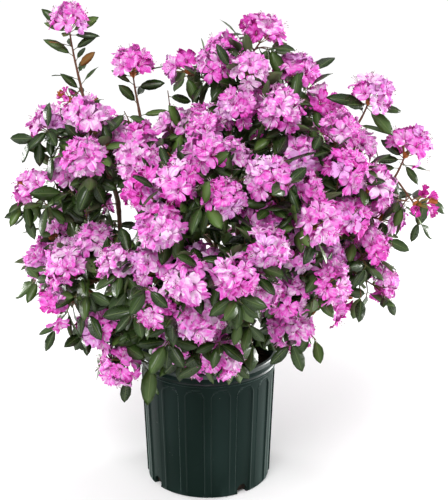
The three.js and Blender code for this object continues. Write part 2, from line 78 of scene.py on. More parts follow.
UP = np.array([0.0, 0.0, 1.0])
ALONG_X = np.array([1.0, 0.0, 0.0])
STEEP = 0.9
CAMERA_PLACE = (0.0265, -2.207, 1.167)
Array = np.ndarray
Chance = np.random.Generator
Pair = tuple[float, float]
Colour = tuple[float, float, float]
Place = tuple[float, float, float]


def unit(vector: Array) -> Array:
    """Returns vectors scaled to a length of 1, along their last axis."""
    length = np.linalg.norm(vector, axis=-1, keepdims=True)
    return vector / np.maximum(length, 1e-9)


def lerp(start: float, end: float, share: float) -> float:
    """Returns the value at a share of the way from start to end."""
    return start + (end - start) * share


def squared(vector: Array, axis: Array) -> Array:
    """Returns the unit vector square to an axis that points most nearly as a given vector does."""
    return unit(vector - axis * vector.dot(axis))


def across(direction: Array) -> tuple[Array, Array]:
    """Returns two unit vectors square to a unit vector and to each other."""
    first = unit(np.cross(UP if abs(direction[2]) < STEEP else ALONG_X, direction))
    return first, np.cross(direction, first)


def aside(axis: Array, angle: float, turn: float) -> Array:
    """Returns the unit vector at an angle from an axis and at a turn round it, in radians."""
    first, second = across(axis)
    return axis * math.cos(angle) + (first * math.cos(turn) + second * math.sin(turn)) * math.sin(angle)


def turned(first: Array, second: Array, turn: Array) -> tuple[Array, Array]:
    """Returns pairs of square vectors turned in their plane, the first towards the second, in radians."""
    cos, sin = np.cos(turn), np.sin(turn)
    return first * cos + second * sin, second * cos - first * sin


class Stream:
    """A repeatable stream of numbers from 0 to 1, the same as the model's."""

    FACTOR = 1664525
    STEP = 1013904223
    RANGE = 2**32
    SEED_STEP = 7919

    def __init__(self, seed: int) -> None:
        """Starts the stream at a seed."""
        self.state = seed % self.RANGE

    def __call__(self) -> float:
        """Returns the next number."""
        self.state = (self.state * self.FACTOR + self.STEP) % self.RANGE
        return self.state / self.RANGE

    def varied(self, share: float) -> float:
        """Returns a number within share of 1, either side."""
        return 1 + share * (2 * self() - 1)


class Curve:
    """A Bezier curve of any degree."""

    def __init__(self, *points: Array) -> None:
        """Keeps the control points."""
        self.points = np.array(points, float)

    def at(self, share: float | Array) -> Array:
        """Finds places on the curve.

        Args:
            share: The share of the curve, or an array of shares.

        Returns:
            The point, or the points.
        """
        share = np.asarray(share, float)[..., None]
        degree = len(self.points) - 1
        terms = [
            math.comb(degree, k) * (1 - share) ** (degree - k) * share**k * point
            for k, point in enumerate(self.points)
        ]
        return np.sum(terms, axis=0)

    def along(self, steps: int) -> Array:
        """Returns steps + 1 points from end to end."""
        return self.at(np.linspace(0, 1, steps + 1))

    def tangent(self, share: float) -> Array:
        """Returns the direction at a share of the curve."""
        return unit(Curve(*np.diff(self.points, axis=0)).at(share))

    def length(self, steps: int = 200) -> float:
        """Returns the length, measured in steps."""
        return float(np.linalg.norm(np.diff(self.along(steps), axis=0), axis=1).sum())


def nearest_on_run(point: Array, run: Array) -> Array:
    """Finds the nearest place to a point on a run of straight pieces.

    Args:
        point: The point.
        run: The run's corners, one to a row.

    Returns:
        The place on the run.
    """
    span = np.diff(run, axis=0)
    share = np.clip(((point - run[:-1]) * span).sum(1) / (span * span).sum(1), 0, 1)
    places = run[:-1] + share[:, None] * span
    return places[((places - point) ** 2).sum(1).argmin()]


def distance_to_run(points: Array, run: Array) -> Array:
    """Measures how far points are from a run of straight pieces.

    Args:
        points: The points, one to a row.
        run: The run's corners, one to a row.

    Returns:
        A distance for each point.
    """
    span = np.diff(run, axis=0)
    offset = points[:, None] - run[None, :-1]
    share = np.clip((offset * span).sum(2) / (span * span).sum(1), 0, 1)
    return np.linalg.norm(offset - share[..., None] * span, axis=2).min(1)


# The sizes of the plant and the rule that it grows by, in millimetres and degrees, as in the model.


@dataclass(frozen=True)
class TrunkSizes:
    """The trunk, which leans a little and flares at the root."""

    height: float = 74
    foot_radius: float = 22
    neck_radius: float = 15
    top_radius: float = 11
    flare_height: float = 16
    lean: float = 9

    def radius(self, share: float) -> float:
        """Finds the radius of the flared trunk.

        Args:
            share: The share of its height.

        Returns:
            The radius there.
        """
        flare = max(0, 1 - share * self.height / self.flare_height)
        shaft = lerp(self.neck_radius, self.top_radius, share)
        return shaft + (self.foot_radius - self.neck_radius) * flare * flare


@dataclass(frozen=True)
class PotSizes:
    """The pot and the level of its soil."""

    height: float = 228
    rim_radius: float = 115
    rim_band: float = 19
    rim_step: float = 3.4
    rim_wall: float = 3.5
    foot_radius: float = 103.5
    heel: float = 4
    wall: float = 2.2
    floor: float = 3
    flutes: int = 16
    flute_depth: float = 1.5
    drain_holes: int = 4
    drain_width: float = 19
    drain_height: float = 17
    drain_depth: float = 14
    soil_top: float = 198

    def body_radius(self, height: float | Array) -> float | Array:
        """Returns the body's radius outside, without its flutes, at a height above its underside."""
        share = np.clip((height - self.heel) / (self.height - self.rim_band - self.heel), 0, 1)
        return lerp(self.foot_radius, self.rim_radius - self.rim_step, share)


@dataclass(frozen=True)
class BoughRule:
    """A bough's radii on the trunk, on another bough and at its tip, its rise off the trunk and its bend."""

    trunk_radius: float = 5.6
    fork_radius: float = 4.2
    tip_radius: float = 2.9
    rise: float = 1.35
    pull: float = 0.36


@dataclass(frozen=True)
class TrussRule:
    """A truss's size and seat, and how the trusses spread on a cap round their bough's tip."""

    radius: float = 36.5
    vary: float = 0.1
    flatness: float = 0.8
    seat: float = 0.5
    lift: float = 0.4
    spacing: float = 70
    crowd: float = 0.9
    widest_cap: float = 1.25
    scatter: float = 0.12


@dataclass(frozen=True)
class TwigRule:
    """The leader's bend and the shares where twigs fork off it, and the radius of a twig."""

    pull: float = 0.42
    forks: Pair = (0.48, 0.14)
    radius: float = 1.8


@dataclass(frozen=True)
class ShootRule:
    """A leafy shoot: its length and rise as shares of the mass's spread, and its angle in radians."""

    length: float = 0.66
    rise: float = 0.1
    angle: float = 1.25
    vary: float = 0.15
    turn: float = 2


@dataclass(frozen=True)
class LeafRule:
    """A leaf's size and stand, the bare share of a twig's foot, and how far out of a truss a leaf shows."""

    length: float = 60
    vary: float = 0.12
    width: float = 0.4
    droop: float = 0.1
    sway: float = 8
    bare: float = 0.12
    shows: float = 0.92


@dataclass(frozen=True)
class Crowding:
    """How near trusses come to each other, to limbs and to the pot's rim, and the rounds of moving them."""

    within: float = 0.94
    between: float = 1.06
    limb: float = 3.5
    rim: float = 8
    half: float = 0.5
    off_limb: float = 0.6
    rounds: int = 30


@dataclass(frozen=True)
class Space:
    """The room that leaves and twigs leave to other masses, to the limbs and to the pot."""

    leaf: float = 6
    twig: float = 4
    limb: float = 3
    pot: float = 4
    lowest: float = 40


@dataclass(frozen=True)
class Spiral:
    """Leaves in a spiral down a twig from its tip, by how they stand and how many there are."""

    first: float
    pitch: float
    leaves: int
    start_angle: float
    end_angle: float


TRUNK = TrunkSizes()
POT = PotSizes()
BOUGH = BoughRule()
TRUSS = TrussRule()
TWIG = TwigRule()
SHOOT = ShootRule()
LEAF = LeafRule()
CROWDING = Crowding()
SPACE = Space()
COLLAR_LEAVES = Spiral(11, 2.2, 12, 66, 100)
SPIRE_LEAVES = Spiral(11, 8, 17, 60, 78)
SHOOT_LEAVES = Spiral(1, 3, 7, 30, 85)
HEART = np.array([12.0, -5.0, 360.0])
LIMB_MIDDLE = 0.3


@dataclass(frozen=True)
class Row:
    """One mass of the crown: the limb its bough forks off, where it blooms and how its trusses are spread.

    The bough bears no sprigs below the share named bare.
    """

    name: str
    parent: str
    at: float
    azimuth: float
    reach: float
    height: float
    trusses: int
    turn: float
    spread: float = 84
    lift: float = 0.25
    cap: float | None = None
    bare: float = 0.34

    def bloom(self) -> Array:
        """Returns the middle of the mass's flowers."""
        turn = math.radians(self.azimuth)
        return np.array([self.reach * math.cos(turn), self.reach * math.sin(turn), self.height])


ROWS = (
    Row("left", "trunk", 0.45, 189, 266, 549, 2, turn=304, spread=70),
    Row("left_upper", "left", 0.62, 196, 212, 608, 4, turn=93, spread=95),
    Row("left_spire", "left_upper", 0.55, 163, 232, 763, 1, turn=0, spread=150, lift=2, bare=0.5),
    Row("left_low", "left", 0.42, 203, 252, 402, 5, turn=24, spread=90),
    Row("left_skirt", "left", 0.26, 208, 208, 288, 3, turn=45, spread=100),
    Row("shoulder", "trunk", 0.8, 217, 115, 602, 3, turn=234, spread=95),
    Row("shoulder_spire", "shoulder", 0.62, 147, 146, 689, 1, turn=0, spread=92, lift=1.6, bare=0.9),
    Row("front", "trunk", 0.55, 279, 272, 482, 5, turn=275),
    Row("front_left", "front", 0.45, 257, 251, 453, 6, turn=118),
    Row("front_low", "front", 0.27, 260, 166, 319, 5, turn=220, spread=85),
    Row("front_upper", "trunk", 0.86, 261, 215, 588, 7, turn=284, spread=87),
    Row("top", "trunk", 1, 4, 40, 728, 5, turn=203, spread=82),
    Row("top_right", "top", 0.5, 347, 136, 684, 5, turn=165, spread=74),
    Row("front_right", "trunk", 0.7, 302, 233, 558, 6, turn=10),
    Row("front_far", "front_right", 0.42, 309, 256, 461, 4, turn=148, spread=90),
    Row("right_skirt", "front_right", 0.28, 324, 231, 388, 5, turn=292),
    Row("right", "trunk", 0.5, 0, 254, 498, 4, turn=111, spread=82),
    Row("right_upper", "right", 0.5, 335, 224, 604, 5, turn=79),
    Row("right_spire", "right_upper", 0.5, 346, 251, 668, 1, turn=0, spread=92, lift=0.8, bare=0.85),
    Row("right_far", "right", 0.6, 355, 336, 558, 2, turn=92, spread=82, cap=0.5, bare=0.8),
    Row("right_low", "right", 0.4, 345, 273, 408, 4, turn=148, spread=87),
    Row("back_right", "trunk", 0.75, 39, 240, 583, 5, turn=231, spread=77),
    Row("back_right_low", "back_right", 0.42, 17, 278, 419, 4, turn=2, spread=78),
    Row("back", "trunk", 0.9, 85, 204, 574, 5, turn=146, spread=82),
    Row("back_low", "back", 0.38, 101, 274, 441, 5, turn=74, spread=100),
    Row("back_skirt", "back", 0.22, 94, 229, 315, 4, turn=239, spread=100),
    Row("back_left", "trunk", 0.62, 149, 233, 557, 5, turn=155, spread=82),
    Row("back_left_low", "back_left", 0.4, 161, 274, 409, 5, turn=278, spread=100),
)


CREST_REACH = 150


class Side(Enum):
    """The parts of the crown that its pieces are joined by: four quarters, and the crest near the middle."""

    RIGHT = "right"
    BACK = "back"
    LEFT = "left"
    FRONT = "front"
    CREST = "crest"

    @classmethod
    def of(cls, row: Row) -> Side:
        """Returns the part that a mass belongs to."""
        quarter = int((row.azimuth + 45) % 360 // 90)
        return cls.CREST if row.reach < CREST_REACH else list(cls)[quarter]


# What the photograph shows and the rule doesn't give: sprigs, single leaves, gaps and side trusses.


@dataclass(frozen=True)
class Whorl:
    """The leaves round the tip of a sprig, and how much they and their faces differ."""

    leaves: int = 6
    pitch: float = 0.07
    start_angle: float = 42
    end_angle: float = 96
    sway: float = 8
    sizes: Pair = (0.72, 0.98)


@dataclass(frozen=True)
class SprigRule:
    """Where finer, flowerless twigs fork off and how long they are. The solids leave them out."""

    drops: tuple[float, ...]
    angles: Pair
    lengths: Pair
    turn: float


TRUSS_SPRIGS = SprigRule(drops=(9, 15, 22, 30), angles=(58, 84), lengths=(25, 41), turn=1.7)
BOUGH_SPRIGS = SprigRule(tuple(range(18, 200, 26)), angles=(40, 80), lengths=(16, 46), turn=GOLDEN_TURN)


def along_sight(points: Array, middle: Array) -> tuple[Array, Array, float]:
    """Measures points against the camera's line of sight to a place.

    Args:
        points: The points.
        middle: The place.

    Returns:
        How far along the line each point is, how far it is off the line, and how far away the place is.
    """
    eye = np.array(CAMERA_PLACE) / MM
    reach = np.linalg.norm(middle - eye)
    way = (middle - eye) / reach
    along = (points - eye) @ way
    return along, np.linalg.norm(points - eye - along[..., None] * way, axis=-1), reach


@dataclass(frozen=True)
class Opening:
    """A gap where the photograph shows sky: where its line of sight crosses y = 0, and its radius there."""

    x: float
    z: float
    radius: float

    def covers(self, points: Array) -> Array:
        """Returns which points lie in the gap's line of sight."""
        along, away, reach = along_sight(points, np.array([self.x, 0, self.z]))
        return away < self.radius * along / reach


OPENINGS = (
    Opening(-250, 776, 12), Opening(-173, 764, 13), Opening(-152, 705, 16), Opening(-151, 630, 12),
    Opening(-174, 640, 13), Opening(-110, 660, 12), Opening(-85, 656, 15), Opening(-78, 622, 13),
    Opening(-53, 724, 13), Opening(-28, 729, 13), Opening(195, 664, 18), Opening(216, 636, 12),
    Opening(238, 691, 10), Opening(262, 620, 13), Opening(272, 585, 16), Opening(335, 520, 15),
    Opening(381, 524, 17), Opening(-137, 470, 14), Opening(-2, 408, 11), Opening(186, 268, 16),
    Opening(-274, 302, 11), Opening(-186, 225, 11), Opening(-270, 279, 11), Opening(-280, 546, 11),
    Opening(57, 787, 9), Opening(273, 296, 9), Opening(-247, 245, 9), Opening(-87, 678, 9),
    Opening(-85, 600, 8),
)


def in_opening(points: Array) -> Array:
    """Returns which points lie in the line of sight of a gap."""
    return np.any([opening.covers(points) for opening in OPENINGS], axis=0)


@dataclass(frozen=True)
class SideTruss:
    """A truss on a side twig, where the photograph shows one more: its middle and its radius."""

    middle: Place
    radius: float
    core: float = 0.72
    sight: float = 0.6

    def meets(self, points: Array) -> Array:
        """Finds the points that lie in the truss, or between its middle and the camera.

        Args:
            points: The points.

        Returns:
            Which of them do.
        """
        middle = np.array(self.middle, float)
        along, away, reach = along_sight(points, middle)
        inside = np.linalg.norm(points - middle, axis=-1) < self.core * self.radius
        return inside | ((away < self.sight * self.radius) & (along < reach))


SIDE_TRUSSES = {
    "left_spire": SideTruss((-226, 40, 643), 22),
    "top": SideTruss((45, -80, 654), 35),
    "front_upper": SideTruss((-2, -115, 634), 33),
    "right": SideTruss((219, -135, 502), 34),
    "right_upper": SideTruss((237, -50, 587), 33),
}


def has_room(points: Array) -> bool:
    """Returns whether a leaf's points stay out of every gap and every side truss."""
    return not (in_opening(points).any() or any(side.meets(points).any() for side in SIDE_TRUSSES.values()))


@dataclass(frozen=True)
class Aim:
    """A sprig that reaches out to a given place: its tip, and its leaves with their droop and size."""

    tip: Place
    leaves: int
    droop: float = 0.6
    size: float = 1
    green: bool = False
    facing: Place = (0, -0.75, 0.65)


# The aimed sprigs of each mass.
AIMS = {
    "left": (Aim((-290, -60, 497), 6, 0.8), Aim((-286, -50, 474), 4, 0.3)),
    "left_upper": (Aim((-268, -60, 600), 5), Aim((-172, -130, 556), 4, 0.8)),
    "left_low": (Aim((-275, -60, 368), 5),),
    "left_skirt": (
        Aim((-243, -70, 292), 6, 0.8), Aim((-198, -80, 286), 6, 0.8), Aim((-128, -112, 222), 2, 2.5),
    ),
    "shoulder": (Aim((-60, -40, 672), 4), Aim((-128, -40, 640), 3)),
    "top": (Aim((98, 10, 728), 4),),
    "top_right": (Aim((166, 10, 690), 3),),
    "right_upper": (Aim((236, -40, 618), 4),),
    "right_far": (Aim((352, -20, 492), 4, 0.9), Aim((338, -30, 455), 3, 0.5)),
    "right_low": (
        Aim((279, -80, 444), 4, 0.5), Aim((282, -90, 350), 3, 0.8), Aim((240, -120, 362), 3, 0.8),
    ),
    "right_skirt": (
        Aim((166, -190, 320), 5, 0.4), Aim((128, -200, 318), 5, 0.6), Aim((72, -84, 266), 6, 0.6),
        Aim((104, -70, 280), 6, 0.6),
    ),
    "front": (Aim((49, -300, 423), 5, 1.2),),
    "front_left": (Aim((-105, -265, 395), 6, 0.8), Aim((-85, -290, 442), 5, 0.9)),
    "front_low": (
        Aim((-60, -225, 330), 6, 0.8), Aim((20, -225, 330), 6, 0.8), Aim((40, -60, 272), 6, 0.5),
        Aim((65, -230, 362), 5, 0.7), Aim((-92, -102, 236), 2, 3, 1.5, True, (-0.8, -1, 0.15)),
    ),
    "front_upper": (Aim((56, -205, 580), 4, 1.2),),
    "front_right": (Aim((146, -200, 570), 4, 1),),
}


@dataclass(frozen=True)
class Rung:
    """A leaf on the stem of a tall shoot: the height of its foot, the run to its tip, and its looks."""

    height: float
    run: Place
    width: float = 0.7
    edge: bool = False
    rust: bool = False


# The single leaves on the stems of the tall shoots.
RUNGS = {
    "left_spire": (
        Rung(743, (-42, 12, 34)), Rung(742, (-40, 0, 16), 0.6), Rung(744, (-6, -32, 2), 1),
        Rung(744, (42, 14, 22)), Rung(737, (50, -8, 2), 0.6),
        Rung(721, (-34, -12, 12), edge=True, rust=True), Rung(718, (-12, 34, 14)),
        Rung(712, (38, -6, 28)), Rung(704, (-44, 6, 28)), Rung(696, (14, 26, 22)),
        Rung(683, (30, -8, 31), 0.8, rust=True), Rung(674, (8, 36, 16)),
        Rung(667, (-43, -6, 15), edge=True), Rung(656, (27, 6, 31), 0.6, edge=True),
        Rung(647, (-28, -10, 27), 0.8), Rung(638, (-8, 36, 14)), Rung(630, (22, -18, 10), 0.9, rust=True),
        Rung(626, (-28, 8, 26), 0.8), Rung(623, (28, 14, 13), edge=True), Rung(611, (22, -6, 24), 0.8),
    ),
    "shoulder_spire": (
        Rung(668, (-30, 0, 4), 0.6), Rung(668, (58, 6, 24), 0.6, edge=True), Rung(664, (6, 34, 12)),
        Rung(655, (-36, -4, 26), 0.6), Rung(650, (42, -6, 8), 0.9), Rung(634, (10, 38, 12)),
        Rung(624, (-24, -10, 32), 1), Rung(606, (42, -6, 10), 0.8),
    ),
    "right_spire": (
        Rung(657, (-55, -6, 12), 0.8), Rung(656, (-30, -28, 7), 0.9), Rung(652, (58, 8, -8)),
        Rung(650, (42, -16, -36), 0.8), Rung(652, (6, 44, 6)), Rung(640, (-8, 38, 14)),
        Rung(622, (56, 0, -14), edge=True), Rung(622, (-34, 0, 22), edge=True),
    ),
    "right_far": (
        Rung(561, (-38, -4, 32), 0.8), Rung(558, (-46, -10, 4), 0.9), Rung(545, (-42, 0, 2), 0.9),
        Rung(555, (28, -8, -36), 0.8), Rung(552, (50, 8, -12), 0.6, edge=True), Rung(548, (8, 44, -4)),
        Rung(516, (34, 0, -12), 0.6, edge=True),
    ),
}

# How far a truss has opened, by its mass and number, where it isn't in full bloom.
STAGES = {("left_spire", 1): 0.35, ("right_far", 1): 0.35, ("right_skirt", 3): 0.3, ("left", 0): 0.7}
# The trusses whose flower bud still shows its scales between the florets.
OPENING_TRUSSES = {("left", 0), ("shoulder", 0), ("right_far", 0), ("right_upper", 3)}


# The plan of the plant: the lines of its limbs and twigs, and the places of its trusses and leaves.


@dataclass
class Limb:
    """The trunk or a bough: its line, its radius at a share of it, and the way that its mass stands out."""

    name: str
    curve: Curve
    radius: Callable[[float], float]
    outward: Array = field(default_factory=lambda: UP)

    @property
    def tip(self) -> Array:
        """The limb's end."""
        return self.curve.points[-1]


@dataclass
class Truss:
    """A ball of flowers at the tip of a twig."""

    centre: Array
    radius: float
    turn: float
    axis: Array = field(default_factory=lambda: UP)

    def seat(self) -> Array:
        """Returns the place in its underside where the twig ends."""
        return self.centre - self.axis * TRUSS.seat * self.radius

    def part_from(self, other: Truss, wanted: float) -> None:
        """Moves this truss and another apart, each half of what is missing.

        Args:
            other: The other truss.
            wanted: How far apart their middles should be.
        """
        distance = math.dist(self.centre, other.centre)
        if distance >= wanted:
            return
        away = (other.centre - self.centre) * CROWDING.half * (wanted - distance) / max(distance, 1)
        self.centre -= away
        other.centre += away

    def push_off(self, run: Array, wanted: float) -> None:
        """Moves the truss away from a limb's line where it is too near.

        Args:
            run: Points along the limb's line.
            wanted: How far away the truss's middle should be.
        """
        away = self.centre - nearest_on_run(self.centre, run)
        distance = float(np.linalg.norm(away))
        if distance < wanted:
            self.centre += away * CROWDING.off_limb * (wanted - distance) / max(distance, 1)


@dataclass
class Leaf:
    """A leaf's place on its twig, the way that it points, its upper face and its size."""

    share: float
    base: Array
    way: Array
    face: Array
    length: float
    width: float = 1

    def midline(self, shares: Iterable[float]) -> list[Array]:
        """Returns the points at some shares of the leaf's length."""
        return [self.base + self.way * share * self.length for share in shares]

    def test_points(self) -> Array:
        """Finds the points that stand for the leaf.

        Returns:
            Five points of its midline, and its two shoulders.
        """
        side = np.cross(self.face, self.way) * 0.5 * LEAF.width * self.length
        midline = self.midline((0.1, 0.3, 0.5, 0.75, 1))
        return np.array([*midline, midline[2] + side, midline[2] - side])


@dataclass
class Twig:
    """A leader, a twig, a shoot or a sprig, with its leaves. A root is its true start on the drawn leader."""

    curve: Curve
    steps: int = 1
    truss: Truss | None = None
    root: Array | None = None
    leaves: list[Leaf] = field(default_factory=list)
    tone: LeafTone | None = None

    def on_pieces(self, share: float) -> tuple[Array, Array]:
        """Finds a place on the straight pieces that the solid twig is made with.

        Args:
            share: The share of the twig, from 0 to 1.

        Returns:
            The point and the piece's direction.
        """
        piece = min(self.steps - 1, math.floor(share * self.steps))
        start = self.curve.at(piece / self.steps)
        span = self.curve.at((piece + 1) / self.steps) - start
        return start + span * (share * self.steps - piece), unit(span)

    def place(self, share: float | Array) -> Array:
        """Finds places on the twig as it is drawn, from its true start.

        Args:
            share: The share of the twig, or an array of shares.

        Returns:
            The point, or the points.
        """
        share = np.asarray(share, float)
        points = self.curve.at(share)
        if self.root is None:
            return points
        return points + (self.root - self.curve.points[0]) * (1 - share)[..., None]

    def grow_leaves(self, spiral: Spiral, random: Stream) -> None:
        """Plans a spiral of leaves down the twig from its tip.

        Args:
            spiral: How the leaves stand.
            random: The mass's stream of numbers.
        """
        length = self.curve.length()
        phase = FULL_TURN * random()
        for j in range(spiral.leaves):
            size = LEAF.length * random.varied(LEAF.vary)
            angle = lerp(spiral.start_angle, spiral.end_angle, j / spiral.leaves)
            angle += LEAF.sway * (2 * random() - 1)
            share = 1 - (spiral.first + j * spiral.pitch) / length
            if share < LEAF.bare:
                continue
            base, axis = self.on_pieces(share)
            way = aside(axis, math.radians(angle), phase + j * GOLDEN_TURN)
            face = squared(axis, way)
            way = unit(way - UP * LEAF.droop)
            self.leaves.append(Leaf(share, base, way, squared(face, way), size))


@dataclass
class Mass:
    """One mass of the crown: the trusses, twigs and leaves at a bough's tip."""

    row: Row
    bough: Limb
    random: Stream
    trusses: list[Truss] = field(default_factory=list)
    leader: Twig | None = None
    twigs: list[Twig] = field(default_factory=list)
    shoots: list[Twig] = field(default_factory=list)
    sprigs: list[Twig] = field(default_factory=list)
    runs: list[Array] = field(default_factory=list)

    def stems(self) -> list[Twig]:
        """Returns the leader and the twigs, which bear the trusses."""
        return [self.leader, *self.twigs]

    def all_twigs(self) -> list[Twig]:
        """Returns the leader, the twigs and the shoots."""
        return [*self.stems(), *self.shoots]

    def plan_trusses(self) -> None:
        """Spreads the trusses evenly on a cap round the bough's tip."""
        count, spread = self.row.trusses, self.row.spread
        wanted = TRUSS.crowd * count * TRUSS.spacing**2 / (FULL_TURN * spread**2)
        cap = 0 if count == 1 else self.row.cap or min(TRUSS.widest_cap, wanted)
        for k in range(count):
            angle = math.acos(1 - cap * (k + 0.5) / count)
            turn = math.radians(self.row.turn) + k * GOLDEN_TURN
            reach = spread * (1 if count == 1 else self.random.varied(TRUSS.scatter))
            centre = self.bough.tip + aside(self.bough.outward, angle, turn) * reach
            radius = TRUSS.radius * self.random.varied(TRUSS.vary)
            self.trusses.append(Truss(centre, radius, FULL_TURN * self.random()))

    def plan_leader(self) -> None:
        """Leads a stem from just off the bough's tip to the underside of the first truss."""
        truss, outward = self.trusses[0], self.bough.outward
        foot, top = self.bough.tip + outward * GAP, truss.seat()
        pull = TWIG.pull * np.linalg.norm(top - foot)
        self.leader = Twig(Curve(foot, foot + outward * pull, top - truss.axis * pull, top), 2, truss)

    def plan_twigs(self) -> None:
        """Forks twigs to the other trusses, and a leafy shoot, off the leader, and plans their leaves."""
        for truss in self.trusses:
            truss.axis = unit(unit(truss.centre - self.bough.tip) + UP * TRUSS.lift)
        self.plan_leader()
        rest = self.trusses[1:]
        forks = len(rest) + 1 if rest else 0
        shares = [lerp(*TWIG.forks, k / max(1, forks - 1)) for k in range(forks)]
        starts = [self.leader.on_pieces(share)[0] for share in shares]
        roots = [self.leader.place(share) for share in shares]
        for start, truss, root in zip(starts, rest, roots):
            self.twigs.append(Twig(Curve(start, truss.seat()), 1, truss, root))
        for twig in self.stems():
            twig.grow_leaves(COLLAR_LEAVES if rest else SPIRE_LEAVES, self.random)
        if rest:
            angle = SHOOT.angle * self.random.varied(SHOOT.vary)
            way = aside(self.bough.outward, angle, self.random() * SHOOT.turn)
            end = starts[-1] + way * SHOOT.length * self.row.spread + UP * SHOOT.rise * self.row.spread
            self.shoots = [Twig(Curve(starts[-1], end), 1, None, roots[-1])]
            self.shoots[0].grow_leaves(SHOOT_LEAVES, self.random)

    def set_runs(self) -> None:
        """Keeps the lines of the twigs that are left."""
        self.runs = [twig.curve.along(4) for twig in self.all_twigs()]

    def distance(self, points: Array) -> Array:
        """Returns how far points, one to a row, are from the mass's trusses and twigs."""
        balls = [np.linalg.norm(points - truss.centre, axis=1) - truss.radius for truss in self.trusses]
        return np.min([*balls, *(distance_to_run(points, run) - TWIG.radius for run in self.runs)], axis=0)

    def shows(self, leaf: Leaf) -> bool:
        """Returns whether a leaf stands out of the mass's own trusses."""
        pairs = [(point, truss) for point in leaf.midline((0.45, 0.7, 1)) for truss in self.trusses]
        return all(np.linalg.norm(point - truss.centre) > LEAF.shows * truss.radius for point, truss in pairs)


